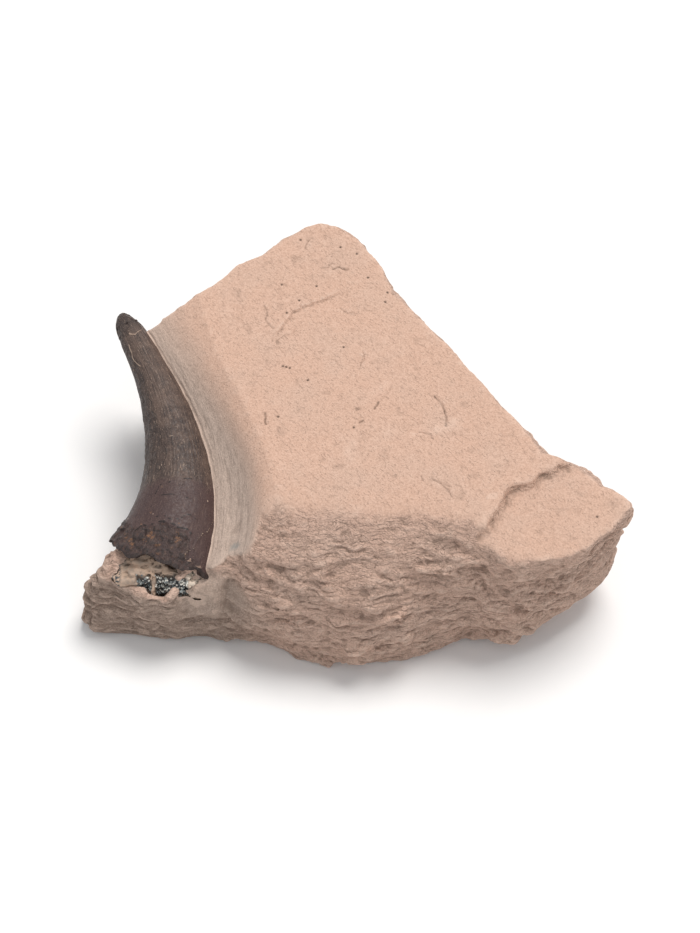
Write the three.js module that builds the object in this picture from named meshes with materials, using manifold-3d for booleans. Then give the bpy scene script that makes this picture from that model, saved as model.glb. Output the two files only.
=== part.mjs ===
// A pliosaur tooth lying in the block of limestone that it was found in.
// Millimetres, +Z up. The block rests on its flat underside, z = 0, and its
// fresh flat face looks up. +X runs along the block's long side, away from
// the tooth, and the tooth lies along the block's left edge with its tip
// pointing back, towards +Y. The origin is under the middle of the block.
//
// Three solids: the block with its socket, the tooth's crown, and the short
// broken stump of root that an open crack parts from the crown.

import * as THREE from 'three';
import { mergeVertices } from 'three/addons/utils/BufferGeometryUtils.js';
import Module from 'manifold-3d';

// ---- Block ----------------------------------------------------------------

const FACE_HEIGHT = 30; // the fresh flat face above the underside
const FACE_FALL = 0.012; // its fall per millimetre towards +X
const STEP_DROP = 2.4; // how far the lower plate at the right lies below it
const FRONT_ROLL = 0.9; // how far the front edge of the face has rolled over
const WAIST_HEIGHT = 12; // the block keeps its lower outline up to here
const CELL = { x: 2.4, y: 2.4, z: 1.6 }; // facet size of the block
const GAP = 0.3; // clearance between the fossil and its socket
const CENTRING = new THREE.Vector3(-0.12, 1.78, 0); // puts the middle of the base over the origin

// Plan outline of the block from its underside to its waist.
const LOWER_OUTLINE = [
  [-6.5, 36.5], [-16, 29.5], [-27, 22.5], [-37, 16.5], [-33.2, 8], [-31, -2],
  [-33, -12], [-39.5, -19], [-46, -25], [-48.2, -28.4], [-46.6, -32.8],
  [-38, -33.7], [-30, -34.8], [-25, -34.2], [-18.4, -34.8], [-10.5, -38],
  [-4.2, -39.4], [3, -39.8], [9.4, -39.5], [13.5, -36.2], [20.5, -35.2],
  [28, -36.4], [36.8, -32.8], [44, -27], [47.4, -21.3], [40.5, -12],
  [29, -3], [21, 6], [15, 16], [8, 27], [0, 36],
];

// Plan outline of the block at the height of the flat face.
const UPPER_OUTLINE = [
  [-6.2, 38.9], [-10.2, 37.3], [-15.8, 33.2], [-21.2, 29], [-26, 23.6],
  [-31.5, 20.4], [-39, 17.8], [-35.5, 10], [-33, 0], [-34, -12],
  [-37, -22], [-34, -27], [-26, -29], [-16, -24.9], [-11.7, -26],
  [-2.4, -25], [4.5, -26.2], [13, -27], [19.7, -29], [24, -31.6],
  [28.2, -33.4], [32.4, -35], [37.5, -34.5], [41.2, -33.1], [44, -29.9],
  [48.2, -26.4], [51.2, -22.6], [45, -18.9], [39.9, -16.4], [33, -13],
  [28.3, -5.5], [23.1, 1.8], [18.3, 9], [12.6, 15.8], [8, 22.2],
  [5.8, 28.8], [1.8, 33.8], [-2.8, 37.9],
];

// Plan outline of the lower plate, where a slab of the flat face is gone.
const PLATE_OUTLINE = [
  [20, -34], [21, -30.5], [23.2, -28.9], [25, -25.6], [25.9, -22.5],
  [27.7, -21.1], [30.3, -19.8], [32.1, -17.7], [35.3, -16.9], [40, -14],
  [60, -14], [60, -45], [20, -45],
];

// ---- Tooth ----------------------------------------------------------------

// Middle line of the crown, from the broken base to the tip.
const CROWN_LINE = new THREE.CubicBezierCurve3(
  new THREE.Vector3(-33.9, -26.3, 13.4),
  new THREE.Vector3(-26.7, -11.7, 18.4),
  new THREE.Vector3(-33.1, 4.8, 21.6),
  new THREE.Vector3(-42.5, 21.4, 23.5),
);
const BASE_RADIUS = 10.4; // half the crown's width at the base
const TAPER = 13.6; // loss of radius towards the tip, first order
const TAPER_EASE = 5.5; // and second order, which leaves a stout tip
const TIP_START = 0.86; // where along the crown its blunt tip starts to round
const FLATNESS = { tip: 0.95, base: 0.72 }; // height over width of its section
const LIP = 0.45; // how far the base's upper edge reaches past its middle
const LEFT_LIP = 0.5; // and how far its left edge does, in millimetres
const SETBACK = 2.3; // how far the whole broken edge lies ahead of the line's start
const RIM_OFFSET = 0.85; // place of the socket's rim across the crown, in radii
const RIM_LIFT = 0.5; // height of the rim above the middle line, in radii
const CROWN_FACETS = { around: 24, along: 26 };

const STUMP = { // the broken root below the crown's lip
  middle: new THREE.Vector3(-33.8, -28.4, 13.4),
  turn: -0.14, // about Z, so that it follows the base of the crown
  half: new THREE.Vector3(8.4, 4.2, 4.4),
  roughness: 0.16, // its lumps, as a share of its radius
  detail: 4,
};

// ---- Irregularity ---------------------------------------------------------

const fract = (v) => v - Math.floor(v);
const lerp = (a, b, share) => a + (b - a) * share;

function smoothstep(from, to, v) {
  const share = THREE.MathUtils.clamp((v - from) / (to - from), 0, 1);
  return share * share * (3 - 2 * share);
}

function smoothMax(a, b, blend) {
  const share = THREE.MathUtils.clamp(0.5 + (0.5 * (a - b)) / blend, 0, 1);
  return lerp(b, a, share) + blend * share * (1 - share);
}

const smoothMin = (a, b, blend) => -smoothMax(-a, -b, blend);

// A repeatable value from 0 to 1 for each whole-numbered place.
function placeValue(i, j, k, seed) {
  return fract(Math.sin(i * 127.1 + j * 311.7 + k * 74.7 + seed * 19.19) * 43758.5453);
}

// Smooth noise from -1 to 1 with lumps about one unit apart.
function noise(x, y, z, seed) {
  const cell = [Math.floor(x), Math.floor(y), Math.floor(z)];
  const ease = [x - cell[0], y - cell[1], z - cell[2]].map((v) => v ** 3 * (v * (v * 6 - 15) + 10));
  let total = 0;
  for (let corner = 0; corner < 8; corner += 1) {
    const offset = [corner & 1, (corner >> 1) & 1, (corner >> 2) & 1];
    const weight = offset.reduce((w, bit, axis) => w * (bit ? ease[axis] : 1 - ease[axis]), 1);
    const [i, j, k] = cell.map((v, axis) => v + offset[axis]);
    total += weight * placeValue(i, j, k, seed);
  }
  return 2 * total - 1;
}

// Distance from a plan outline, negative inside it.
function outlineDistance(x, y, outline) {
  let nearest = Infinity;
  let inside = false;
  outline.forEach(([ax, ay], index) => {
    const [bx, by] = outline[(index + 1) % outline.length];
    const [ex, ey] = [bx - ax, by - ay];
    const along = ((x - ax) * ex + (y - ay) * ey) / (ex * ex + ey * ey);
    const share = THREE.MathUtils.clamp(along, 0, 1);
    nearest = Math.min(nearest, Math.hypot(x - ax - share * ex, y - ay - share * ey));
    if ((ay > y) !== (by > y) && x < ax + (ex * (y - ay)) / ey) inside = !inside;
  });
  return inside ? -nearest : nearest;
}

// ---- Crown ----------------------------------------------------------------

const UPRIGHT = new THREE.Vector3(0, 0, 1);

const crownGirth = (t) => BASE_RADIUS - TAPER * t + TAPER_EASE * t * t;

function crownFlatness(t) {
  return FLATNESS.tip - (FLATNESS.tip - FLATNESS.base) * (1 - t) ** 2;
}

function crownRadius(t) {
  const cap = THREE.MathUtils.clamp((t - TIP_START) / (1 - TIP_START), 0, 1);
  return crownGirth(t) * Math.sqrt(1 - cap * cap);
}

// Directions across, up and along the crown at a place on its middle line.
function crownFrame(t) {
  const along = CROWN_LINE.getTangent(t);
  const across = new THREE.Vector3().crossVectors(along, UPRIGHT).normalize();
  return { along, across, up: new THREE.Vector3().crossVectors(across, along) };
}

// How far the broken edge of the base reaches past the middle line's start.
function brokenEdge(angle) {
  const lip = LIP * BASE_RADIUS * FLATNESS.base * Math.max(Math.sin(angle), 0);
  const left = LEFT_LIP * (1 - Math.cos(angle));
  const jags = 0.5 * Math.sin(3 * angle + 1) + 0.4 * Math.sin(7 * angle) + 0.3 * Math.sin(13 * angle + 2);
  return lip + left + jags - SETBACK;
}

// The crown's skin grown by a margin, closed at the tip and at the base.
function crownShape(margin) {
  const { around, along } = CROWN_FACETS;
  const points = [];
  for (let row = 0; row < along; row += 1) {
    const t = Math.sin((row / along) * Math.PI * 0.5); // rows close up towards the tip
    const { along: ahead, across, up } = crownFrame(t);
    for (let column = 0; column < around; column += 1) {
      const angle = (column / around) * 2 * Math.PI;
      const wide = crownRadius(t) + margin;
      const high = wide * crownFlatness(t);
      points.push(CROWN_LINE.getPoint(t)
        .addScaledVector(across, wide * Math.cos(angle))
        .addScaledVector(up, high * Math.sin(angle))
        .addScaledVector(ahead, -((1 - t) ** 8) * (brokenEdge(angle) + margin)));
    }
  }
  const base = CROWN_LINE.getPoint(0).addScaledVector(crownFrame(0).along, SETBACK + 1 - margin);
  const tip = CROWN_LINE.getPoint(1).addScaledVector(crownFrame(1).along, margin);
  return sleeve(points, around, base, tip);
}

// A closed skin through rings of points, with a point at either end.
function sleeve(points, around, start, end) {
  const rows = points.length / around;
  const positions = [...points, start, end];
  const faces = [];
  for (let column = 0; column < around; column += 1) {
    const next = (column + 1) % around;
    for (let row = 0; row + 1 < rows; row += 1) {
      const [a, b] = [row * around + column, row * around + next];
      faces.push(a, b + around, b, a, a + around, b + around);
    }
    const last = (rows - 1) * around;
    faces.push(points.length, column, next);
    faces.push(points.length + 1, last + next, last + column);
  }
  const geometry = new THREE.BufferGeometry().setFromPoints(positions);
  geometry.setIndex(faces);
  return geometry;
}

// ---- Root stump -----------------------------------------------------------

// A rough lump, wider than deep, that lies under the lip of the crown.
function stumpShape(margin) {
  const lump = new THREE.IcosahedronGeometry(1, STUMP.detail);
  lump.deleteAttribute('normal');
  lump.deleteAttribute('uv');
  const geometry = mergeVertices(lump);
  const places = geometry.getAttribute('position');
  const point = new THREE.Vector3();
  for (let index = 0; index < places.count; index += 1) {
    point.fromBufferAttribute(places, index);
    const [x, y, z] = point.toArray();
    const facets = noise(3 * x, 3 * y, 3 * z, 51) + 0.6 * noise(7 * x, 7 * y, 7 * z, 52);
    const square = 1 / Math.hypot(...[x, y, z].map((v) => Math.abs(v) ** 1.6)) ** 0.45;
    point.multiplyScalar(square * (1 + STUMP.roughness * facets));
    point.multiply(STUMP.half.clone().addScalar(margin));
    places.setXYZ(index, point.x, point.y, point.z);
  }
  geometry.rotateZ(STUMP.turn);
  geometry.translate(STUMP.middle.x, STUMP.middle.y, STUMP.middle.z);
  return geometry;
}

// ---- Block ----------------------------------------------------------------

const LINE_STEPS = 60;
const LINE_POINTS = CROWN_LINE.getPoints(LINE_STEPS);

// Nearest place on the crown's middle line in plan: how far along it is, the
// distance to its right, and the distance past its base, which is cut askew.
function crownPlace(x, y) {
  let nearest = Infinity;
  let place = { t: 0, right: 0, past: 0 };
  for (let index = 0; index < LINE_STEPS; index += 1) {
    const [a, b] = [LINE_POINTS[index], LINE_POINTS[index + 1]];
    const [ex, ey] = [b.x - a.x, b.y - a.y];
    const length = Math.hypot(ex, ey);
    const share = THREE.MathUtils.clamp(((x - a.x) * ex + (y - a.y) * ey) / length ** 2, 0, 1);
    const away = Math.hypot(x - a.x - share * ex, y - a.y - share * ey);
    if (away < nearest) {
      nearest = away;
      place = { t: (index + share) / LINE_STEPS, right: ((x - a.x) * ey - (y - a.y) * ex) / length };
    }
  }
  const start = LINE_POINTS[0];
  const heading = new THREE.Vector2(LINE_POINTS[1].x - start.x, LINE_POINTS[1].y - start.y).normalize();
  place.past = -((x - start.x) * heading.x + (y - start.y) * heading.y) + 0.15 * (x + 34);
  return place;
}

// How much a place belongs to the lower plate: 0 to 1 across the ragged step.
function plateShare(x, y) {
  const ragged = [x + 0.7 * noise(x / 3, y / 3, 0, 7), y + 0.7 * noise(x / 3, y / 3, 0, 8)];
  return smoothstep(0.6, -0.6, outlineDistance(...ragged, PLATE_OUTLINE));
}

// The flat face and the lower plate at its right.
function faceHeight(x, y) {
  const face = FACE_HEIGHT - FACE_FALL * Math.max(x, 0) + 0.35 * noise(x / 22, y / 22, 0, 3);
  const rolled = FRONT_ROLL * smoothstep(-16, -30, y) * smoothstep(26, 10, x);
  const tilt = 0.05 * (y + 24) - 0.01 * (x - 25);
  const plate = FACE_HEIGHT - STEP_DROP + tilt + 0.3 * noise(x / 14, y / 14, 0, 5);
  return lerp(face, plate, plateShare(x, y)) - rolled;
}

// The prepared hollow: the bed under the crown, its rim and the wall that
// climbs from the rim to the flat face. The bed ends where the foot begins.
function hollowHeight(place) {
  const { t, right, past } = place;
  const girth = crownGirth(t);
  const ended = 30 * smoothstep(0.7, 2, past) * smoothstep(0.5, -1.5, right - RIM_OFFSET * girth);
  const middle = CROWN_LINE.getPoint(t).z;
  const rim = middle + RIM_LIFT * girth * crownFlatness(t);
  const bed = middle - 0.4 * girth * crownFlatness(t);
  if (right < RIM_OFFSET * girth) {
    const across = (right + 0.9 * girth) / (RIM_OFFSET * girth + 0.9 * girth);
    return lerp(bed, rim, THREE.MathUtils.clamp(across, 0, 1)) + ended;
  }
  const width = 6.7 + (t > 0.6 ? 34 : 22) * (t - 0.6) ** 2;
  const climb = THREE.MathUtils.clamp((right - RIM_OFFSET * girth) / width, 0, 1.6);
  const steepness = 0.45 * smoothstep(0.75, 0.1, t);
  const gentle = climb ** 0.9;
  const steep = 1.02 * smoothstep(0.3, 1.05, climb);
  const beyond = 1.5 * Math.max(climb - 1, 0);
  return rim + (FACE_HEIGHT + 0.2 - rim) * (lerp(gentle, steep, steepness) + beyond) + ended;
}

// The foot in front of the root, which rises to the block at its right.
function footHeight(x, y, place) {
  const slope = 0.4 * THREE.MathUtils.clamp(y + 33, 0, 7);
  const foot = 14.7 + slope + 0.9 * noise(x / 6, y / 5, 0, 9);
  const rise = 4.2 * smoothstep(-33.5, -27.5, x) + 24 * smoothstep(-26, -19.5, x);
  const behind = 40 * smoothstep(0.6, -1.2, place.past);
  return foot + rise + behind;
}

function topHeight(x, y) {
  const place = crownPlace(x, y);
  const hollowed = smoothMin(faceHeight(x, y), hollowHeight(place), 2.6);
  return smoothMin(hollowed, footHeight(x, y, place), 1);
}

// Shingle-like ledges of the broken sides: each sticks out at its lower edge
// and slopes back to the one above. They dip towards the right.
function ledgeDepth(x, y, z) {
  const wander = 2.2 * noise(x / 14, y / 14, z / 12, 21) + 1.5 * noise(x / 5, y / 5, z / 5, 22);
  const drift = wander + 14 * smoothstep(18, 40, x);
  const courses = [
    { height: 7, depth: 2, seed: 31 },
    { height: 3.4, depth: 1.1, seed: 41 },
  ];
  const total = courses.reduce((sum, { height, depth, seed }) => {
    const course = fract((z + drift + 0.3 * height * noise(x / 4, y / 4, z / 4, seed)) / height);
    const strength = depth * smoothstep(-0.5, 0.5, noise(x / 7, y / 7, z / 4, seed + 1));
    return sum + strength * (1 - course) * smoothstep(0, 0.28, course);
  }, 0);
  return total * (0.35 + 0.65 * smoothstep(0, 6, FACE_HEIGHT - z));
}

// How far the rock stands out in front of the stump, to hold it.
function browDepth(x, y, z) {
  const beside = smoothstep(6.5, 2, Math.abs(x + 33.5));
  return 1.3 * beside * smoothstep(-27, -30, y) * smoothstep(7, 12, z);
}

// What the block's skin has in common over one place of its plan.
function blockColumn(x, y) {
  const wander = noise(x / 7, y / 7, 0, 11) + 0.5 * noise(x / 3.2, y / 3.2, 0, 12);
  const undercut = Math.max(0, 0.3 * (x - 17 - 2.5 * noise(y / 10, 0, 0, 18)));
  const rolledFront = smoothstep(-14, -24, y) * smoothstep(34, 16, x) * smoothstep(-24, -17, x);
  const leanRight = smoothstep(-17, -22, x) * smoothstep(-33, -28, x) * smoothstep(-25, -30, y);
  const leanLeft = smoothstep(-37, -43, x) * smoothstep(-14, -22, y);
  return {
    upper: outlineDistance(x, y, UPPER_OUTLINE) + 0.4 * wander,
    lower: outlineDistance(x, y, LOWER_OUTLINE) + 0.5 * wander,
    top: topHeight(x, y),
    underside: Math.max(0, undercut + 0.25 * noise(x / 9, y / 9, 0, 17) - 0.25),
    lean: 0.2 * leanRight + 0.17 * leanLeft,
    roll: 0.7 + 2.8 * rolledFront + 2.5 * smoothstep(-35, -42, x) * smoothstep(-18, -26, y),
  };
}

// Negative inside the block.
function blockField(column, x, y, z) {
  const high = THREE.MathUtils.clamp((z - WAIST_HEIGHT) / (FACE_HEIGHT - WAIST_HEIGHT), 0, 1) ** 2;
  const wall = lerp(column.lower, column.upper, high);
  const bulges = 0.9 * (1 - 0.7 * high) * noise(x / 13, y / 13, z / 10, 15);
  const brow = browDepth(x, y, z);
  const ledges = ledgeDepth(x, y, z) * (1 - 0.5 * brow) + brow;
  const side = wall + bulges + column.lean * Math.max(z - 1, 0) - ledges + 0.8;
  const capped = smoothMax(side, z - column.top, column.roll);
  return smoothMax(capped, column.underside - z, 1.5);
}

// Skin of the field's zero level: one vertex in each cell that it passes
// through, one quad across each grid edge that it crosses.
function fieldSkin(low, high, cell) {
  const counts = ['x', 'y', 'z'].map((axis) => Math.ceil((high[axis] - low[axis]) / cell[axis]) + 1);
  const [nx, ny, nz] = counts;
  const indexOf = (i, j, k) => (i * ny + j) * nz + k;
  const values = new Float64Array(nx * ny * nz);
  for (let i = 0; i < nx; i += 1) {
    for (let j = 0; j < ny; j += 1) {
      const [x, y] = [low.x + i * cell.x, low.y + j * cell.y];
      const column = blockColumn(x, y);
      for (let k = 0; k < nz; k += 1) {
        values[indexOf(i, j, k)] = blockField(column, x, y, low.z + k * cell.z);
      }
    }
  }
  const strides = [ny * nz, nz, 1];
  untangle(values, counts, strides);
  const positions = [];
  const vertexOf = new Map();
  const cellVertex = (at) => {
    const key = indexOf(...at);
    if (!vertexOf.has(key)) {
      vertexOf.set(key, positions.length / 3);
      positions.push(...cellMiddle(values, key, strides, at, low, cell));
    }
    return vertexOf.get(key);
  };
  const faces = [];
  for (let i = 1; i + 1 < nx; i += 1) {
    for (let j = 1; j + 1 < ny; j += 1) {
      for (let k = 1; k + 1 < nz; k += 1) {
        const here = indexOf(i, j, k);
        for (let axis = 0; axis < 3; axis += 1) {
          const inside = values[here] < 0;
          if (inside === values[here + strides[axis]] < 0) continue;
          const ring = [[-1, -1], [0, -1], [0, 0], [-1, 0]].map(([u, v]) => {
            const at = [i, j, k];
            at[(axis + 1) % 3] += u;
            at[(axis + 2) % 3] += v;
            return cellVertex(at);
          });
          if (!inside) ring.reverse();
          faces.push(ring[0], ring[1], ring[2], ring[0], ring[2], ring[3]);
        }
      }
    }
  }
  const geometry = new THREE.BufferGeometry();
  geometry.setAttribute('position', new THREE.Float32BufferAttribute(positions, 3));
  geometry.setIndex(faces);
  return geometry;
}

// Where the four corners of a grid square lie inside and outside crosswise,
// the outer one nearest the skin is taken in, so that the skin never meets itself.
function untangle(values, counts, strides) {
  const [nx, ny, nz] = counts;
  let crossed = true;
  while (crossed) {
    crossed = false;
    for (let key = 0; key < (nx - 1) * strides[0]; key += 1) {
      if (Math.floor(key / nz) % ny === ny - 1 || key % nz === nz - 1) continue;
      for (let axis = 0; axis < 3; axis += 1) {
        const [u, v] = [strides[(axis + 1) % 3], strides[(axis + 2) % 3]];
        const corners = [key, key + u, key + u + v, key + v];
        const [a, b, c, d] = corners.map((corner) => values[corner] < 0);
        if (a !== c || b !== d || a === b) continue;
        const outer = corners.filter((corner) => values[corner] >= 0);
        const weakest = outer.reduce((p, q) => (values[q] < values[p] ? q : p));
        values[weakest] = Math.min(-1e-6, -values[weakest]);
        crossed = true;
      }
    }
  }
}

// Mean of the places where the skin crosses a cell's edges.
function cellMiddle(values, key, strides, at, low, cell) {
  const sum = [0, 0, 0];
  let crossings = 0;
  for (let axis = 0; axis < 3; axis += 1) {
    for (let corner = 0; corner < 4; corner += 1) {
      const offset = [0, 0, 0];
      offset[(axis + 1) % 3] = corner & 1;
      offset[(axis + 2) % 3] = corner >> 1;
      const start = key + offset.reduce((total, bit, n) => total + bit * strides[n], 0);
      const [from, to] = [values[start], values[start + strides[axis]]];
      if ((from < 0) === (to < 0)) continue;
      offset[axis] = from / (from - to);
      offset.forEach((v, n) => { sum[n] += v; });
      crossings += 1;
    }
  }
  return ['x', 'y', 'z'].map((axis, n) => low[axis] + (at[n] + sum[n] / crossings) * cell[axis]);
}

// ---- Cutting the pieces apart ---------------------------------------------

const manifold = await Module();
manifold.setup();

function toSolid(geometry) {
  return new manifold.Manifold(new manifold.Mesh({
    numProp: 3,
    vertProperties: new Float32Array(geometry.getAttribute('position').array),
    triVerts: new Uint32Array(geometry.getIndex().array),
  }));
}

function toGeometry(solid) {
  const { vertProperties, triVerts, numProp } = solid.getMesh();
  const geometry = new THREE.BufferGeometry();
  geometry.setAttribute('position', new THREE.BufferAttribute(vertProperties, numProp));
  geometry.setIndex(new THREE.BufferAttribute(triVerts, 1));
  geometry.computeVertexNormals();
  return geometry;
}

const blockLow = { x: -53.7, y: -46.8, z: -3.2 };
const blockHigh = { x: 54, y: 43, z: 34 };
const crown = toSolid(crownShape(0));
const stump = toSolid(stumpShape(0)).subtract(toSolid(crownShape(GAP)));
const block = toSolid(fieldSkin(blockLow, blockHigh, CELL))
  .subtract(toSolid(crownShape(GAP)))
  .subtract(toSolid(stumpShape(GAP)));

function piece(name, solid, finish) {
  const mesh = new THREE.Mesh(toGeometry(solid), new THREE.MeshStandardMaterial(finish));
  mesh.name = name;
  return mesh;
}

const specimen = new THREE.Group();
specimen.name = 'fossil_pliosaur_tooth';
specimen.position.copy(CENTRING);
specimen.add(
  piece('matrix_rock', block, { color: 0xd2b19d, roughness: 0.95, metalness: 0 }),
  piece('tooth_crown', crown, { color: 0x4f413c, roughness: 0.45, metalness: 0 }),
  piece('root_stump', stump, { color: 0xb7a391, roughness: 0.9, metalness: 0 }),
);

export default specimen;
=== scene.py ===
"""A pliosaur tooth in its block of limestone: the finished look of the specimen.

The forms are drafted in millimetres in the plan that the solids use, where +X runs along the block,
+Y towards the tooth's tip and +Z up. to_frame() puts a drafted place into the frame, in metres. Each
sub-assembly is a class that builds its meshes and dresses them, and main() builds them in order.
"""

import logging
import math
from collections.abc import Sequence
from dataclasses import dataclass, field
from enum import Enum, IntEnum

import bmesh
import bpy
import numpy as np
from bpy.types import Material, Mesh, Node, NodeSocket, NodeTree, Object
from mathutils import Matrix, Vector


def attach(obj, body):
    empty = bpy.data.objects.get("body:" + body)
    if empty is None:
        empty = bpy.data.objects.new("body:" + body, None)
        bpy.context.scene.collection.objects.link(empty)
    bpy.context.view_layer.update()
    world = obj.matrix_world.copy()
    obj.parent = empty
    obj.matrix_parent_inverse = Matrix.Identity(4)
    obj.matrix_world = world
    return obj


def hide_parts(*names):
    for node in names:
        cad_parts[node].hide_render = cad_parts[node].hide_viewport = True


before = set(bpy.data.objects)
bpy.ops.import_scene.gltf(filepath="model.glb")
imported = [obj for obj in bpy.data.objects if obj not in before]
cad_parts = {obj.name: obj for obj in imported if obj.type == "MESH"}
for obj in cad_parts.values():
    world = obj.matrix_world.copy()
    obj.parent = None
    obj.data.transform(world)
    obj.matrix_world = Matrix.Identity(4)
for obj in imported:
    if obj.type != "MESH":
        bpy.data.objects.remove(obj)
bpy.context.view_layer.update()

Array = np.ndarray
Point = tuple[float, float, float]
Spot = tuple[float, float]
Colour = tuple[float, float, float, float]
Number = "float | Wire"

MM = 0.001
CENTRING: Point = (-0.12, 1.78, 0.0)  # puts the middle of the drafted base over the frame's origin
BODY = "root"
LOG = logging.getLogger("specimen")


class Slot(Enum):
    """The record's material slots."""

    STONE = "matrix_stone"
    ENAMEL = "tooth_enamel"
    ROOT = "root_bone"


class Seed(IntEnum):
    """Which pattern each irregularity takes."""

    FACE_SWELL = 3
    PLATE_SWELL = 5
    STEP_X = 7
    STEP_Y = 8
    FOOT = 9
    OUTLINE = 11
    OUTLINE_FINE = 12
    BULGES = 15
    UNDERSIDE = 17
    UNDERCUT = 18
    LEDGE_DRIFT = 21
    LEDGE_DRIFT_FINE = 22
    LEDGE_DEEP = 31
    LEDGE_SHALLOW = 41
    STUMP_FACETS = 51
    STUMP_FACETS_FINE = 52
    TORN_SWELL = 60
    TORN_DIP = 61
    TORN_DIP_FINE = 62
    FLAKE_THIN = 63
    FLAKE_THICK = 67
    FOLD_WIDE = 71
    FOLD_NARROW = 72
    TORN_CALM = 75
    BREAK_EDGE = 77
    BREAK_EDGE_FINE = 78
    FACE_GRAIN = 81
    FACE_UNEVEN = 82
    MARK_X = 83
    MARK_Y = 84
    TOOL_STROKES = 85
    TOOL_STROKES_FINE = 86
    RIM_WANDER = 87
    RIM_WANDER_FINE = 88
    MARK_CRUMBS = 89
    CHALK = 91
    MINERAL_EDGE = 92
    MINERAL = 93
    SOCKET_GAPS = 101
    CRACK_RUN = 103
    CRACK_SWING = 104
    CROWN_SWELL = 105
    CROWN_UNEVEN = 106
    CRUMBLE_FLAKES = 108
    TIP_FLAKES = 109
    BROKEN_BASE = 110
    CROWN_ZONES = 112
    CROWN_ZONES_FINE = 113
    CRUMBLE_GRIT = 114
    SEAM_GRIT = 115
    STUMP_FLAKES = 121
    STUMP_FLAKES_FINE = 122
    STUMP_GRIT = 123
    CRUST_X = 124
    CRUST_Y = 125
    FRAGMENT_FLAKES = 126
    HOLE_EDGE = 127


# ---- Irregularity ----


def lerp(start: Array, end: Array, share: Array) -> Array:
    """Goes from start to end as share goes from 0 to 1."""
    return start + (end - start) * share


def smoothstep(low: float, high: float, value: Array) -> Array:
    """Rises smoothly from 0 at low to 1 at high."""
    share = np.clip((value - low) / (high - low), 0.0, 1.0)
    return share * share * (3.0 - 2.0 * share)


def bell(away: Array, width: float) -> Array:
    """Falls smoothly from 1 where away is 0."""
    return np.exp(-((away / width) ** 2))


def smooth_max(a: Array, b: Array, blend: Array | float) -> Array:
    """The larger of a and b, with the corner between them rounded over blend."""
    share = np.clip(0.5 + 0.5 * (a - b) / blend, 0.0, 1.0)
    return lerp(b, a, share) + blend * share * (1.0 - share)


def smooth_min(a: Array, b: Array, blend: float) -> Array:
    """The smaller of a and b, with the corner between them rounded over blend."""
    return -smooth_max(-a, -b, blend)


def place_value(i: Array, j: Array, k: Array, seed: float) -> Array:
    """A repeatable value from 0 to 1 for each whole-numbered place."""
    value = np.sin(i * 127.1 + j * 311.7 + k * 74.7 + seed * 19.19) * 43758.5453
    return value - np.floor(value)


def in_lumps(places: Sequence[Array | float], size: float | Point) -> list[Array]:
    """Places measured in lumps of a size, which is one number or one for each axis."""
    sizes = size if isinstance(size, tuple) else (size,) * 3
    return [np.asarray(axis / length, float) for axis, length in zip(places, sizes)]


def noise(places: Sequence[Array | float], size: float | Point, seed: int) -> Array:
    """Smooth noise.

    Args:
        places: The places' three coordinates.
        size: How far apart its lumps are, as one number or one for each axis.
        seed: Picks the pattern.

    Returns:
        Values from -1 to 1.
    """
    places = in_lumps(places, size)
    cells = [np.floor(axis) for axis in places]
    parts = [axis - cell for axis, cell in zip(places, cells)]
    eases = [part**3 * (part * (part * 6.0 - 15.0) + 10.0) for part in parts]
    total = 0.0
    for corner in range(8):
        steps = [(corner >> axis) & 1 for axis in range(3)]
        if steps[2] and np.ndim(places[2]) == 0 and eases[2] == 0.0:
            continue
        weight = 1.0
        for ease, step in zip(eases, steps):
            weight = weight * (ease if step else 1.0 - ease)
        total = total + weight * place_value(*(cell + step for cell, step in zip(cells, steps)), seed)
    return 2.0 * total - 1.0


def outline_distance(x: Array, y: Array, outline: Sequence[Spot]) -> Array:
    """Distance from a plan outline, negative inside it.

    Args:
        x, y: Places in plan.
        outline: Its corners in order.

    Returns:
        Millimetres.
    """
    nearest = np.full(np.shape(x), np.inf)
    inside = np.zeros(np.shape(x), bool)
    for (ax, ay), (bx, by) in zip(outline, (*outline[1:], outline[0])):
        ex, ey = bx - ax, by - ay
        share = np.clip(((x - ax) * ex + (y - ay) * ey) / (ex * ex + ey * ey), 0.0, 1.0)
        nearest = np.minimum(nearest, np.hypot(x - ax - share * ex, y - ay - share * ey))
        if ay != by:
            inside ^= ((ay > y) != (by > y)) & (x < ax + ex * (y - ay) / ey)
    return np.where(inside, -nearest, nearest)


def path_distance(x: Array, y: Array, path: Sequence[Spot]) -> Array:
    """Distance in plan from an open path.

    Args:
        x, y: Places in plan.
        path: Its corners in order, or one place.

    Returns:
        Millimetres.
    """
    nearest = np.full(np.shape(x), np.inf)
    for (ax, ay), (bx, by) in zip(path, path[1:] or path):
        ex, ey = bx - ax, by - ay
        length = max(ex * ex + ey * ey, 1e-9)
        share = np.clip(((x - ax) * ex + (y - ay) * ey) / length, 0.0, 1.0)
        nearest = np.minimum(nearest, np.hypot(x - ax - share * ex, y - ay - share * ey))
    return nearest


def path_side(x: Array, y: Array, path: Sequence[Spot]) -> Array:
    """Distance to the right of an open path's nearest stretch.

    Args:
        x, y: Places in plan.
        path: Its corners in order.

    Returns:
        Millimetres, negative on its left.
    """
    nearest = np.full(np.shape(x), np.inf)
    side = np.zeros(np.shape(x))
    for a, b in zip(path, path[1:]):
        away = path_distance(x, y, (a, b))
        to_right = ((x - a[0]) * (b[1] - a[1]) - (y - a[1]) * (b[0] - a[0])) / math.dist(a, b)
        side = np.where(away < nearest, to_right, side)
        nearest = np.minimum(nearest, away)
    return side


# ---- Crown's form ----


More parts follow.
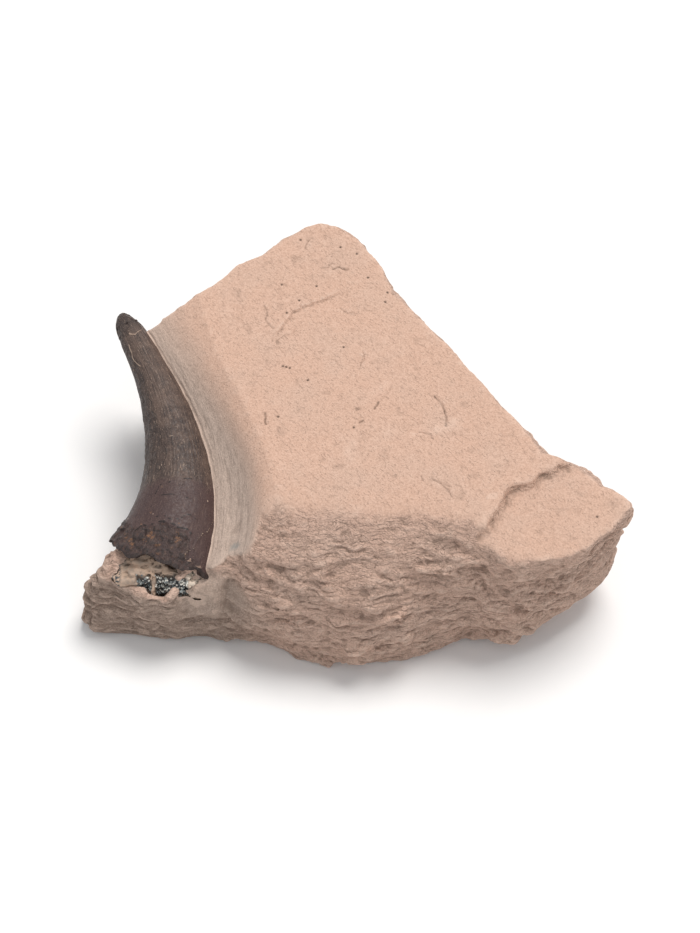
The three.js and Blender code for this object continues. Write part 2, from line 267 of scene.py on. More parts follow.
@dataclass(frozen=True)
class CrownForm:
    """Sizes of the crown in millimetres. It runs from t = 0 at the broken base to t = 1 at the tip."""

    line: tuple[Point, ...] = (
        (-33.9, -26.3, 13.4), (-26.7, -11.7, 18.4), (-33.1, 4.8, 21.6), (-42.5, 21.4, 23.5),
    )
    length: float = 53.0
    rim_length: float = 50.0
    base_radius: float = 10.4
    taper: float = 13.6
    taper_ease: float = 5.5
    tip_start: float = 0.86
    tip_flatness: float = 0.95
    base_flatness: float = 0.72
    lip: float = 0.45
    left_lip: float = 0.5
    setback: float = 2.3
    rim_offset: float = 0.85
    rim_lift: float = 0.5
    steps: int = 60

    def point(self, t: Array) -> Array:
        """Places on the middle line.

        Args:
            t: Ways along it.

        Returns:
            One place for each.
        """
        share = np.asarray(t, float)[..., None]
        rest = 1.0 - share
        p0, p1, p2, p3 = (np.array(p) for p in self.line)
        return rest**3 * p0 + 3 * rest**2 * share * p1 + 3 * rest * share**2 * p2 + share**3 * p3

    def girth(self, t: Array) -> Array:
        """Half the crown's width, before the tip is rounded."""
        return self.base_radius - self.taper * t + self.taper_ease * t * t

    def rim(self, t: Array) -> Array:
        """How far to the right of the middle line the hollow's rim runs."""
        return self.rim_offset * self.girth(t)

    def flatness(self, t: Array) -> Array:
        """Height of the section over its width."""
        return self.tip_flatness - (self.tip_flatness - self.base_flatness) * (1.0 - t) ** 2

    def place(self, x: Array, y: Array) -> tuple[Array, Array, Array]:
        """Finds the nearest place on the middle line in plan.

        Args:
            x, y: Places in plan.

        Returns:
            How far along the line it is, the distance to its right, and the distance past its start.
        """
        points = self.point(np.linspace(0.0, 1.0, self.steps + 1))[:, :2]
        nearest = np.full(np.shape(x), np.inf)
        along = np.zeros(np.shape(x))
        right = np.zeros(np.shape(x))
        for index, (a, b) in enumerate(zip(points, points[1:])):
            ex, ey = b - a
            length = math.hypot(ex, ey)
            share = np.clip(((x - a[0]) * ex + (y - a[1]) * ey) / length**2, 0.0, 1.0)
            away = np.hypot(x - a[0] - share * ex, y - a[1] - share * ey)
            closer = away < nearest
            nearest = np.where(closer, away, nearest)
            along = np.where(closer, (index + share) / self.steps, along)
            right = np.where(closer, ((x - a[0]) * ey - (y - a[1]) * ex) / length, right)
        heading = (points[1] - points[0]) / np.linalg.norm(points[1] - points[0])
        past = -((x - points[0][0]) * heading[0] + (y - points[0][1]) * heading[1])
        return along, right, past


# ---- Block's form ----


@dataclass(frozen=True)
class Course:
    """A run of lapped ledges, flakes or folds: how high each is, how deep, and its pattern."""

    height: float
    depth: float
    seed: Seed


@dataclass
class BlockColumn:
    """What the block's skin has in common over one place of its plan."""

    upper: Array
    lower: Array
    face: Array
    hollow: Array
    foot: Array
    top: Array
    underside: Array
    lean: Array
    roll: Array
    plate_share: Array
    along: Array
    right: Array


@dataclass(frozen=True)
class BlockForm:
    """Sizes of the block in millimetres, and the rule for its skin."""

    crown: CrownForm = field(default_factory=CrownForm)
    face_height: float = 30.0
    face_fall: float = 0.012
    face_swell: float = 0.35
    plate_swell: float = 0.3
    step_drop: float = 2.4
    step_width: float = 1.2
    step_raggedness: float = 0.7
    front_roll: float = 0.9
    waist_height: float = 12.0
    bed_depth: float = 0.4
    bed_reach: float = 0.9
    wall_width: float = 6.7
    wall_narrowest: float = 0.6
    base_flare: float = 22.0
    tip_flare: float = 34.0
    wall_steepness: float = 0.45
    hollow_end: float = 30.0
    foot_height: float = 14.7
    foot_slope: float = 0.4
    foot_unevenness: float = 0.9
    foot_rise: float = 4.2
    foot_climb: float = 24.0
    foot_end: float = 40.0
    foot_start: float = -33.0
    foot_skew: float = 0.15
    crown_start: float = -34.0
    underside_start: float = 17.0
    undercut_slope: float = 0.3
    edge_roll: float = 0.7
    front_edge_roll: float = 2.8
    left_edge_roll: float = 2.5
    right_lean: float = 0.2
    left_lean: float = 0.17
    underside_blend: float = 1.5
    hollow_blend: float = 2.6
    foot_blend: float = 1.0
    brow_depth: float = 1.3
    corner_depth: float = 2.0
    outset: float = 0.8
    ledges: tuple[Course, ...] = (Course(7.0, 2.0, Seed.LEDGE_DEEP), Course(3.4, 1.1, Seed.LEDGE_SHALLOW))
    low: Point = (-53.0, -46.0, -3.0)
    high: Point = (54.0, 43.0, 34.0)
    lower_outline: tuple[Spot, ...] = (
        (-6.5, 36.5), (-16, 29.5), (-27, 22.5), (-37, 16.5), (-33.2, 8), (-31, -2), (-33, -12), (-39.5, -19),
        (-46, -25), (-48.2, -28.4), (-46.6, -32.8), (-38, -33.7), (-30, -34.8), (-25, -34.2), (-18.4, -34.8),
        (-10.5, -38), (-4.2, -39.4), (3, -39.8), (9.4, -39.5), (13.5, -36.2), (20.5, -35.2), (28, -36.4),
        (36.8, -32.8), (44, -27), (47.4, -21.3), (40.5, -12), (29, -3), (21, 6), (15, 16), (8, 27), (0, 36),
    )
    upper_outline: tuple[Spot, ...] = (
        (-6.2, 38.9), (-10.2, 37.3), (-15.8, 33.2), (-21.2, 29), (-26, 23.6), (-31.5, 20.4), (-39, 17.8),
        (-35.5, 10), (-33, 0), (-34, -12), (-37, -22), (-34, -27), (-26, -29), (-16, -24.9),
        (-11.7, -26), (-2.4, -25), (4.5, -26.2), (13, -27), (19.7, -29), (24, -31.6), (28.2, -33.4),
        (32.4, -35), (37.5, -34.5), (41.2, -33.1), (44, -29.9), (48.2, -26.4), (51.2, -22.6), (45, -18.9),
        (39.9, -16.4), (33, -13), (28.3, -5.5), (23.1, 1.8), (18.3, 9), (12.6, 15.8), (8, 22.2),
        (5.8, 28.8), (1.8, 33.8), (-2.8, 37.9),
    )
    plate_outline: tuple[Spot, ...] = (
        (20, -34), (21, -30.5), (23.2, -28.9), (25, -25.6), (25.9, -22.5), (27.7, -21.1), (30.3, -19.8),
        (32.1, -17.7), (35.3, -16.9), (40, -14), (60, -14), (60, -45), (20, -45),
    )

    def plate_share(self, x: Array, y: Array) -> Array:
        """How much a place belongs to the lower plate: 0 to 1 across the ragged step.

        Args:
            x, y: Places in plan.

        Returns:
            Shares from 0 to 1.
        """
        ragged_x = x + self.step_raggedness * noise((x, y, 0.0), 3, Seed.STEP_X)
        ragged_y = y + self.step_raggedness * noise((x, y, 0.0), 3, Seed.STEP_Y)
        half = self.step_width / 2
        return smoothstep(half, -half, outline_distance(ragged_x, ragged_y, self.plate_outline))

    def face(self, x: Array, y: Array, plate_share: Array) -> Array:
        """Height of the flat face and of the lower plate at its right.

        Args:
            x, y: Places in plan.
            plate_share: How much each belongs to the plate.

        Returns:
            Millimetres.
        """
        face = self.face_height - self.face_fall * np.maximum(x, 0.0)
        face = face + self.face_swell * noise((x, y, 0.0), 22, Seed.FACE_SWELL)
        rolled = self.front_roll * smoothstep(-16, -30, y) * smoothstep(26, 10, x)
        plate = self.face_height - self.step_drop + 0.05 * (y + 24) - 0.01 * (x - 25)
        plate = plate + self.plate_swell * noise((x, y, 0.0), 14, Seed.PLATE_SWELL)
        return lerp(face, plate, plate_share) - rolled

    def hollow(self, t: Array, right: Array, past: Array) -> Array:
        """Height of the hollow: the bed under the crown, its rim and the wall up to the flat face.

        Args:
            t, right, past: Places beside the crown, as CrownForm.place gives them.

        Returns:
            Millimetres.
        """
        crown = self.crown
        girth = crown.girth(t)
        middle = crown.point(t)[..., 2]
        beyond = right - crown.rim_offset * girth
        rim = middle + crown.rim_lift * girth * crown.flatness(t)
        bed = middle - self.bed_depth * girth * crown.flatness(t)
        across = (right + self.bed_reach * girth) / (crown.rim_offset * girth + self.bed_reach * girth)
        inner = lerp(bed, rim, np.clip(across, 0.0, 1.0))
        flare = np.where(t > self.wall_narrowest, self.tip_flare, self.base_flare)
        width = self.wall_width + flare * (t - self.wall_narrowest) ** 2
        climb = np.clip(beyond / width, 0.0, 1.6)
        steepness = self.wall_steepness * smoothstep(0.75, 0.1, t)
        steep = 1.02 * smoothstep(0.3, 1.05, climb)
        rise = lerp(climb**0.9, steep, steepness) + 1.5 * np.maximum(climb - 1.0, 0.0)
        wall = rim + (self.face_height + 0.2 - rim) * rise
        ended = self.hollow_end * smoothstep(0.7, 2.0, past) * smoothstep(0.5, -1.5, beyond)
        return np.where(right < crown.rim_offset * girth, inner, wall) + ended

    def foot(self, x: Array, y: Array, past: Array) -> Array:
        """Height of the foot in front of the root, which rises to the block at its right.

        Args:
            x, y: Places in plan.
            past: Distance past the crown's start.

        Returns:
            Millimetres.
        """
        foot = self.foot_height + self.foot_slope * np.clip(y - self.foot_start, 0.0, 7.0)
        foot = foot + self.foot_unevenness * noise((x, y, 0.0), (6, 5, 1), Seed.FOOT)
        rise = self.foot_rise * smoothstep(-33.5, -27.5, x) + self.foot_climb * smoothstep(-26, -19.5, x)
        return foot + rise + self.foot_end * smoothstep(0.6, -1.2, past)

    def column(self, x: Array, y: Array) -> BlockColumn:
        """Works out what the skin has in common over places of the plan.

        Args:
            x, y: Places in plan.

        Returns:
            The distances from both outlines, the heights of its surfaces, the lean of its sides, how
            far its front edge is rolled and its place beside the crown.
        """
        t, right, past = self.crown.place(x, y)
        past = past + self.foot_skew * (x - self.crown_start)
        plate_share = self.plate_share(x, y)
        face, foot = self.face(x, y, plate_share), self.foot(x, y, past)
        hollow = self.hollow(t, right, past)
        wander = noise((x, y, 0.0), 7, Seed.OUTLINE) + 0.5 * noise((x, y, 0.0), 3.2, Seed.OUTLINE_FINE)
        level = 0.0 * y
        reach = 2.5 * noise((y, level, 0.0), 10, Seed.UNDERCUT)
        undercut = np.maximum(0.0, self.undercut_slope * (x - self.underside_start - reach))
        right_lean = self.right_lean * smoothstep(-17, -22, x) * smoothstep(-33, -28, x)
        right_lean = right_lean * smoothstep(-25, -30, y)
        left_lean = self.left_lean * smoothstep(-37, -43, x) * smoothstep(-14, -22, y)
        front = smoothstep(-14, -24, y)
        front_roll = self.front_edge_roll * front * smoothstep(34, 16, x) * smoothstep(-24, -17, x)
        left_roll = self.left_edge_roll * smoothstep(-35, -42, x) * smoothstep(-18, -26, y)
        return BlockColumn(
            upper=outline_distance(x, y, self.upper_outline) + 0.4 * wander,
            lower=outline_distance(x, y, self.lower_outline) + 0.5 * wander,
            face=face,
            hollow=hollow,
            foot=foot,
            top=smooth_min(smooth_min(face, hollow, self.hollow_blend), foot, self.foot_blend),
            underside=np.maximum(0.0, undercut + 0.25 * noise((x, y, 0.0), 9, Seed.UNDERSIDE) - 0.25),
            lean=right_lean + left_lean,
            roll=self.edge_roll + front_roll + left_roll,
            plate_share=plate_share,
            along=t,
            right=right,
        )

    def ledge_depth(self, x: Array, y: Array, z: Array) -> Array:
        """Depth of the lapped ledges of the broken sides, which wander and dip towards the right.

        Args:
            x, y, z: Drafted places.

        Returns:
            Millimetres.
        """
        drift = 2.2 * noise((x, y, z), (14, 14, 12), Seed.LEDGE_DRIFT)
        drift = drift + 1.5 * noise((x, y, z), 5, Seed.LEDGE_DRIFT_FINE)
        drift = drift + 14.0 * smoothstep(18, 40, x)
        total = 0.0
        for course in self.ledges:
            sway = 0.3 * course.height * noise((x, y, z), 4, course.seed)
            phase = (z + drift + sway) / course.height
            share = phase - np.floor(phase)
            strength = course.depth * smoothstep(-0.5, 0.5, noise((x, y, z), (7, 7, 4), course.seed + 1))
            total = total + strength * (1.0 - share) * smoothstep(0.0, 0.28, share)
        return total * (0.35 + 0.65 * smoothstep(0.0, 6.0, self.face_height - z))

    def side(self, column: BlockColumn, x: Array, y: Array, z: Array) -> Array:
        """Distance outside the block's sides. A brow of rock overhangs in front of the stump.

        Args:
            column: What the skin has in common there.
            x, y, z: Drafted places.

        Returns:
            Millimetres, negative inside.
        """
        high = np.clip((z - self.waist_height) / (self.face_height - self.waist_height), 0.0, 1.0) ** 2
        wall = lerp(column.lower, column.upper, high)
        bulges = 0.9 * (1.0 - 0.7 * high) * noise((x, y, z), (13, 13, 10), Seed.BULGES)
        brow = self.brow_depth * smoothstep(6.5, 2.0, np.abs(x + 33.5)) * smoothstep(7, 12, z)
        corner = self.corner_depth * smoothstep(4.5, 1.5, np.abs(x + 26.0))
        corner = corner * smoothstep(6, 11, z) * smoothstep(16.5, 14, z)
        brow = (brow + corner) * smoothstep(-27, -30, y)
        ledges = self.ledge_depth(x, y, z) * np.clip(1.0 - 0.5 * brow, 0.2, 1.0) + brow
        return wall + bulges + column.lean * np.maximum(z - 1.0, 0.0) - ledges + self.outset

    def values(self, column: BlockColumn, x: Array, y: Array, z: Array) -> Array:
        """The block's field, negative inside it."""
        capped = smooth_max(self.side(column, x, y, z), z - column.top, column.roll)
        return smooth_max(capped, column.underside - z, self.underside_blend)


# ---- Meshes ----


def to_frame(points: Array) -> Array:
    """Turns drafted millimetres into the frame's metres."""
    return (np.asarray(points) + CENTRING) * MM


def make_piece(name: str, points: Array, faces: Array) -> Object:
    """Makes an object with its place in its mesh.

    Args:
        name: Its name.
        points: Drafted vertices in millimetres.
        faces: One row of vertex numbers for each face.

    Returns:
        The object, smooth shaded.
    """
    mesh = bpy.data.meshes.new(name)
    corners = faces.shape[1]
    mesh.vertices.add(len(points))
    mesh.vertices.foreach_set("co", to_frame(points).astype(np.float32).ravel())
    mesh.loops.add(faces.size)
    mesh.loops.foreach_set("vertex_index", faces.astype(np.int32).ravel())
    mesh.polygons.add(len(faces))
    mesh.polygons.foreach_set("loop_start", np.arange(0, faces.size, corners, dtype=np.int32))
    mesh.update(calc_edges=True)
    mesh.validate()
    mesh.shade_smooth()
    piece = bpy.data.objects.new(name, mesh)
    bpy.context.scene.collection.objects.link(piece)
    return piece


def vectors(items: bpy.types.bpy_prop_collection, name: str) -> Array:
    """Reads a vector from each of a mesh's vertices or faces."""
    flat = np.empty(len(items) * 3, np.float32)
    items.foreach_get(name, flat)
    return flat.reshape(-1, 3).astype(float)


def drafted_points(mesh: Mesh) -> Array:
    """The mesh's vertices in drafted millimetres."""
    return vectors(mesh.vertices, "co") / MM - CENTRING


def points_and_normals(mesh: Mesh) -> tuple[Array, Array]:
    """The mesh's vertices in drafted millimetres, and their normals."""
    return drafted_points(mesh), vectors(mesh.vertices, "normal")


def move_points(mesh: Mesh, points: Array) -> None:
    """Puts the mesh's vertices at drafted places."""
    mesh.vertices.foreach_set("co", to_frame(points).astype(np.float32).ravel())
    mesh.update()


def store(mesh: Mesh, **masks: Array) -> None:
    """Keeps masks, one number for each vertex, under the names that materials read."""
    for name, values in masks.items():
        layer = mesh.attributes.get(name) or mesh.attributes.new(name, "FLOAT", "POINT")
        layer.data.foreach_set("value", np.asarray(values, np.float32).ravel())


def read(mesh: Mesh, name: str) -> Array:
    """Reads back one number for each vertex."""
    values = np.empty(len(mesh.vertices), np.float32)
    mesh.attributes[name].data.foreach_get("value", values)
    return values.astype(float)


def bake(piece: Object) -> None:
    """Turns a piece's modifiers into its plain mesh.

    Args:
        piece: The piece, whose old mesh is dropped.
    """
    old = piece.data
    shaped = piece.evaluated_get(bpy.context.evaluated_depsgraph_get())
    piece.data = bpy.data.meshes.new_from_object(shaped)
    piece.modifiers.clear()
    piece.data.name = piece.name
    if old.users == 0:
        bpy.data.meshes.remove(old)


def subdivide(piece: Object) -> None:
    """Rounds and refines a piece's mesh once.

    Args:
        piece: The piece.
    """
    modifier = piece.modifiers.new("refine", "SUBSURF")
    modifier.levels = modifier.render_levels = 1
    modifier.use_limit_surface = False
    modifier.quality = 1
    bake(piece)


def cut_away(piece: Object, cutter: Object) -> None:
    """Takes the cutter's volume out of a piece, and deletes the cutter.

    Args:
        piece: What is cut.
        cutter: A closed mesh.
    """
    modifier = piece.modifiers.new("cut", "BOOLEAN")
    modifier.operation = "DIFFERENCE"
    modifier.solver = "MANIFOLD"
    modifier.object = cutter
    bake(piece)
    bpy.data.objects.remove(cutter)


def triangle_count(piece: Object) -> int:
    """How many triangles a piece's faces make."""
    return sum(len(face.vertices) - 2 for face in piece.data.polygons)


def thin_out(piece: Object, triangles: int) -> None:
    """Merges triangles where the surface is flattest until a count is reached.

    Args:
        piece: The piece.
        triangles: The most that it may keep.
    """
    count = triangle_count(piece)
    if count > triangles:
        modifier = piece.modifiers.new("thin", "DECIMATE")
        modifier.ratio = triangles / count
        bake(piece)


def hollowness(mesh: Mesh) -> Array:
    """How far each vertex lies below the mean of its neighbours, in millimetres, softened once.

    Args:
        mesh: The mesh.

    Returns:
        One number for each vertex, above 0 in a crease.
    """
    points, normals = points_and_normals(mesh)
    edges = np.empty(len(mesh.edges) * 2, np.int32)
    mesh.edges.foreach_get("vertices", edges)
    a, b = edges.reshape(-1, 2).T
    links = np.maximum(np.bincount(a, minlength=len(points)) + np.bincount(b, minlength=len(points)), 1)

    def around(values: Array) -> Array:
        """Mean of each vertex's neighbours."""
        sums = np.bincount(a, values[b], len(points)) + np.bincount(b, values[a], len(points))
        return sums / links

    means = np.stack([around(points[:, axis]) for axis in range(3)], 1)
    below = ((means - points) * normals).sum(1)
    return 0.5 * below + 0.5 * around(below)


def untangled(values: Array) -> Array:
    """Takes in the weakest outer corner of each grid square whose corners are crosswise in and out.

    Args:
        values: The field on a grid, negative inside. It is changed.

    Returns:
        The same field.
    """
    crossed = True
    while crossed:
        crossed = False
        for axis in range(3):
            u, v = [other for other in range(3) if other != axis]
            windows = []
            for step_u, step_v in ((0, 0), (1, 0), (1, 1), (0, 1)):
                window = [slice(None)] * 3
                window[u] = slice(step_u, values.shape[u] - 1 + step_u)
                window[v] = slice(step_v, values.shape[v] - 1 + step_v)
                windows.append(tuple(window))
            a, b, c, d = (values[window] < 0 for window in windows)
            tangled = (a == c) & (b == d) & (a != b)
            if not tangled.any():
                continue
            crossed = True
            heights = np.stack([values[window] for window in windows])
            weakest = np.where(heights < 0, np.inf, heights).argmin(0)
            turned = np.zeros(values.shape, bool)
            for number, window in enumerate(windows):
                turned[window] |= tangled & (weakest == number)
            values[turned] = np.minimum(-1e-6, -values[turned])
    return values


def field_skin(values: Array, low: Point, cell: float) -> tuple[Array, Array]:
    """Skins the zero level of a field: a vertex in each cell that it passes through.

    Args:
        values: The field on a grid, negative inside.
        low: The grid's lowest corner.
        cell: The grid's spacing.

    Returns:
        Vertices, and quads that face outwards.
    """
    shape = np.array(values.shape) - 1
    sums = np.zeros((*shape, 3))
    crossings = np.zeros(shape)
    for axis in range(3):
        for corner in range(4):
            step = [0, 0, 0]
            step[(axis + 1) % 3], step[(axis + 2) % 3] = corner & 1, corner >> 1
            window = [slice(s, s + n) for s, n in zip(step, shape)]
            start = values[tuple(window)]
            window[axis] = slice(1, 1 + shape[axis])
            end = values[tuple(window)]
            crossed = (start < 0) != (end < 0)
            share = np.where(crossed, start / np.where(crossed, start - end, 1.0), 0.0)
            for other in range(3):
                sums[..., other] += np.where(crossed, share if other == axis else step[other], 0.0)
            crossings += crossed
    busy = crossings > 0
    numbers = np.full(shape, -1)
    numbers[busy] = np.arange(busy.sum())
    corners = np.argwhere(busy)
    points = (corners + sums[busy] / crossings[busy][:, None]) * cell + low
    quads = []
    for axis in range(3):
        inside = values < 0
        near = np.take(inside, range(values.shape[axis] - 1), axis)
        far = np.take(inside, range(1, values.shape[axis]), axis)
        places = np.argwhere(near != far)
        u, v = (axis + 1) % 3, (axis + 2) % 3
        ring = []
        for du, dv in ((-1, -1), (0, -1), (0, 0), (-1, 0)):
            at = places.copy()
            at[:, u] += du
            at[:, v] += dv
            ring.append(numbers[tuple(at.T)])
        quad = np.stack(ring, 1)
        outward = near[tuple(places.T)]
        quad[~outward] = quad[~outward][:, ::-1]
        quads.append(quad)
    return points, np.concatenate(quads)


# ---- Node trees ----


class Wire:
    """One output of a node tree, which adds, multiplies and compares like a number."""

    def __init__(self, socket: NodeSocket) -> None:
        """Takes hold of an output socket."""
        self.socket = socket
        self.tree = socket.id_data

    def __add__(self, other: Number) -> "Wire":
        """Sum."""
        return math_node(self.tree, "ADD", self, other)

    def __sub__(self, other: Number) -> "Wire":
        """Difference."""
        return math_node(self.tree, "SUBTRACT", self, other)

    def __rsub__(self, other: float) -> "Wire":
        """Difference from a plain number."""
        return math_node(self.tree, "SUBTRACT", other, self)

    def __rtruediv__(self, other: float) -> "Wire":
        """Share of a plain number."""
        return math_node(self.tree, "DIVIDE", other, self)

    def __mul__(self, other: Number) -> "Wire":
        """Product."""
        return math_node(self.tree, "MULTIPLY", self, other)

    def __truediv__(self, other: Number) -> "Wire":
        """Quotient."""
        return math_node(self.tree, "DIVIDE", self, other)

    def __pow__(self, other: float) -> "Wire":
        """Power."""
        return math_node(self.tree, "POWER", self, other)

    def clipped(self) -> "Wire":
        """The value held between 0 and 1."""
        wire = math_node(self.tree, "ADD", self, 0.0)
        wire.socket.node.use_clamp = True
        return wire

    def mapped(self, low: float, high: float, start: float = 0.0, end: float = 1.0) -> "Wire":
        """The value's smooth rise from start at low to end at high.

        Args:
            low, high: Where it starts and ends.
            start, end: Its values there.

        Returns:
            The rise.
        """
        node = self.tree.nodes.new("ShaderNodeMapRange")
        node.interpolation_type = "SMOOTHSTEP"
        fill(node, {"Value": self, "From Min": low, "From Max": high, "To Min": start, "To Max": end})
        return Wire(node.outputs["Result"])


def plug(socket: NodeSocket, value: object) -> None:
    """Links a wire to an input, or sets the input's own value.

    Args:
        socket: The input.
        value: A wire or a plain value.
    """
    if isinstance(value, Wire):
        socket.id_data.links.new(value.socket, socket)
    else:
        socket.default_value = value


def fill(node: Node, values: dict[str | int, object]) -> Node:
    """Fills a node's inputs by name or number."""
    for key, value in values.items():
        plug(node.inputs[key], value)
    return node


def add_node(tree: NodeTree, kind: str, values: dict[str | int, object] | None = None,
             **settings: object) -> Node:
    """Adds a node.

    Args:
        tree: The tree that it goes in.
        kind: The node's type.
        values: Its inputs, by name or number.
        settings: Its own settings.

    Returns:
        The node.
    """
    node = tree.nodes.new(kind)
    for key, value in settings.items():
        setattr(node, key, value)
    return fill(node, values or {})


def math_node(tree: NodeTree, operation: str, *values: Number) -> Wire:
    """Adds one sum to a tree.

    Args:
        tree: The tree that it goes in.
        operation: The sum's kind.
        values: Its terms.

    Returns:
        Its result.
    """
    node = add_node(tree, "ShaderNodeMath", operation=operation)
    for number, value in enumerate(values):
        plug(node.inputs[number], value)
    return Wire(node.outputs[0])


def vector_node(tree: NodeTree, operation: str, *values: object) -> Wire:
    """Adds one sum of vectors to a tree; SCALE takes its factor last.

    Args:
        tree: The tree that it goes in.
        operation: The sum's kind.
        values: Its terms.

    Returns:
        Its result.
    """
    node = add_node(tree, "ShaderNodeVectorMath", operation=operation)
    if operation == "SCALE":
        plug(node.inputs[0], values[0])
        plug(node.inputs["Scale"], values[1])
    else:
        for number, value in enumerate(values):
            plug(node.inputs[number], value)
    is_number = operation in ("LENGTH", "DOT_PRODUCT", "DISTANCE")
    return Wire(node.outputs["Value" if is_number else "Vector"])


def noise_node(tree: NodeTree, places: Wire, scale: Number, detail: float = 2.0,
               roughness: float = 0.5, distortion: float = 0.0) -> Node:
    """Adds soft noise to a tree."""
    return add_node(tree, "ShaderNodeTexNoise", {
        "Vector": places, "Scale": scale, "Detail": detail, "Roughness": roughness, "Distortion": distortion,
    })


def coats(tree: NodeTree, base: Colour | Wire, *layers: tuple[Number, Colour]) -> Wire:
    """Lays colours over a base one after another, each by its share.

    Args:
        tree: The tree that it goes in.
        base: The colour at the bottom.
        layers: Each coat's share and colour.

    Returns:
        The colour on top.
    """
    for share, colour in layers:
        node = add_node(tree, "ShaderNodeMix", data_type="RGBA")
        fill(node, {0: share, 6: base, 7: colour})
        base = Wire(node.outputs[2])
    return base


def bumps(tree: NodeTree, *layers: tuple[Wire, float]) -> Wire:
    """Adds bumps one over another; a height of 1 stands for a depth in millimetres.

    Args:
        tree: The tree that it goes in.
        layers: Each bump's height and depth.

    Returns:
        The bent normal.
    """
    normal = None
    for height, depth in layers:
        node = add_node(tree, "ShaderNodeBump", {"Strength": 1.0, "Distance": depth * MM, "Height": height})
        if normal:
            plug(node.inputs["Normal"], normal)
        normal = Wire(node.outputs["Normal"])
    return normal


def tint(red: int, green: int, blue: int) -> Colour:
    """A colour from its display values, 0 to 255, as the linear values that shaders take.

    Args:
        red, green, blue: The display values.

    Returns:
        The colour, opaque.
    """
    def linear(value: int) -> float:
        """One channel."""
        share = value / 255.0
        return share / 12.92 if share <= 0.04045 else ((share + 0.055) / 1.055) ** 2.4
    return (linear(red), linear(green), linear(blue), 1.0)


# ---- Node groups ----


class Kind(Enum):
    """Kinds of socket on a node group."""

    NUMBER = "NodeSocketFloat"
    COUNT = "NodeSocketInt"
    PLACE = "NodeSocketVector"
    GEOMETRY = "NodeSocketGeometry"
    MATERIAL = "NodeSocketMaterial"
    OBJECT = "NodeSocketObject"


class TreeKind(Enum):
    """Kinds of node group."""

    SHADER = "ShaderNodeTree"
    GEOMETRY = "GeometryNodeTree"


def new_group(name: str, tree: TreeKind, inputs: dict[str, Kind],
              outputs: dict[str, Kind]) -> NodeTree:
    """Starts a node group.

    Args:
        name: Its name.
        tree: What it is for.
        inputs: Its inputs and their kinds.
        outputs: Its outputs and their kinds.

    Returns:
        The group, with its input and output nodes.
    """
    group = bpy.data.node_groups.new(name, tree.value)
    for label, kind in inputs.items():
        group.interface.new_socket(label, in_out="INPUT", socket_type=kind.value)
    for label, kind in outputs.items():
        group.interface.new_socket(label, in_out="OUTPUT", socket_type=kind.value)
    group.nodes.new("NodeGroupInput")
    group.nodes.new("NodeGroupOutput")
    return group


def group_wires(group: NodeTree) -> dict[str, Wire]:
    """The wires that come into a group."""
    node = next(n for n in group.nodes if n.bl_idname == "NodeGroupInput")
    return {socket.name: Wire(socket) for socket in node.outputs if socket.name}


def group_out(group: NodeTree, values: dict[str, Wire]) -> None:
    """Links a group's outputs."""
    node = next(n for n in group.nodes if n.bl_idname == "NodeGroupOutput")
    fill(node, values)


def use_group(tree: NodeTree, group: NodeTree,
              values: dict[str, object]) -> dict[str, Wire]:
    """Puts a shader group into a tree, with its inputs, and gives back its outputs by name."""
    node = fill(add_node(tree, "ShaderNodeGroup", node_tree=group), values)
    return {socket.name: Wire(socket) for socket in node.outputs}


def run_nodes(name: str, group: NodeTree, values: dict[str, object]) -> Object:
    """Runs a geometry node group and keeps its result as a plain mesh.

    Args:
        name: The new piece's name.
        group: The group.
        values: Its inputs by name.

    Returns:
        The piece.
    """
    piece = bpy.data.objects.new(name, bpy.data.meshes.new(name))
    bpy.context.scene.collection.objects.link(piece)
    modifier = piece.modifiers.new("grow", "NODES")
    modifier.node_group = group
    for item in group.interface.items_tree:
        if item.item_type == "SOCKET" and item.in_out == "INPUT" and item.name in values:
            modifier[item.identifier] = values[item.name]
    bake(piece)
    piece.data.shade_smooth()
    return piece


def keep_number(tree: NodeTree, geometry: Wire, name: str, value: Wire,
                domain: str = "POINT") -> Wire:
    """Keeps a number of a growing geometry under a name that materials read.

    Args:
        tree: The tree that it goes in.
        geometry: What it is kept on.
        name: Its name.
        value: The number.
        domain: What has one each.

    Returns:
        The geometry with its number.
    """
    node = add_node(tree, "GeometryNodeStoreNamedAttribute", {"Geometry": geometry, "Name": name},
                    data_type="FLOAT", domain=domain)
    plug(node.inputs["Value"], value)
    return Wire(node.outputs[0])


def finish_tree(tree: NodeTree, geometry: Wire, material: Wire) -> None:
    """Ends a geometry tree: instances made real, and its material set.

    Args:
        tree: The tree.
        geometry: What it has grown.
        material: Its finish.
    """
    real = add_node(tree, "GeometryNodeRealizeInstances", {"Geometry": geometry})
    dressed = add_node(tree, "GeometryNodeSetMaterial", {
        "Geometry": Wire(real.outputs[0]), "Material": material,
    })
    group_out(tree, {"Geometry": Wire(dressed.outputs[0])})


# ---- Shared effects ----


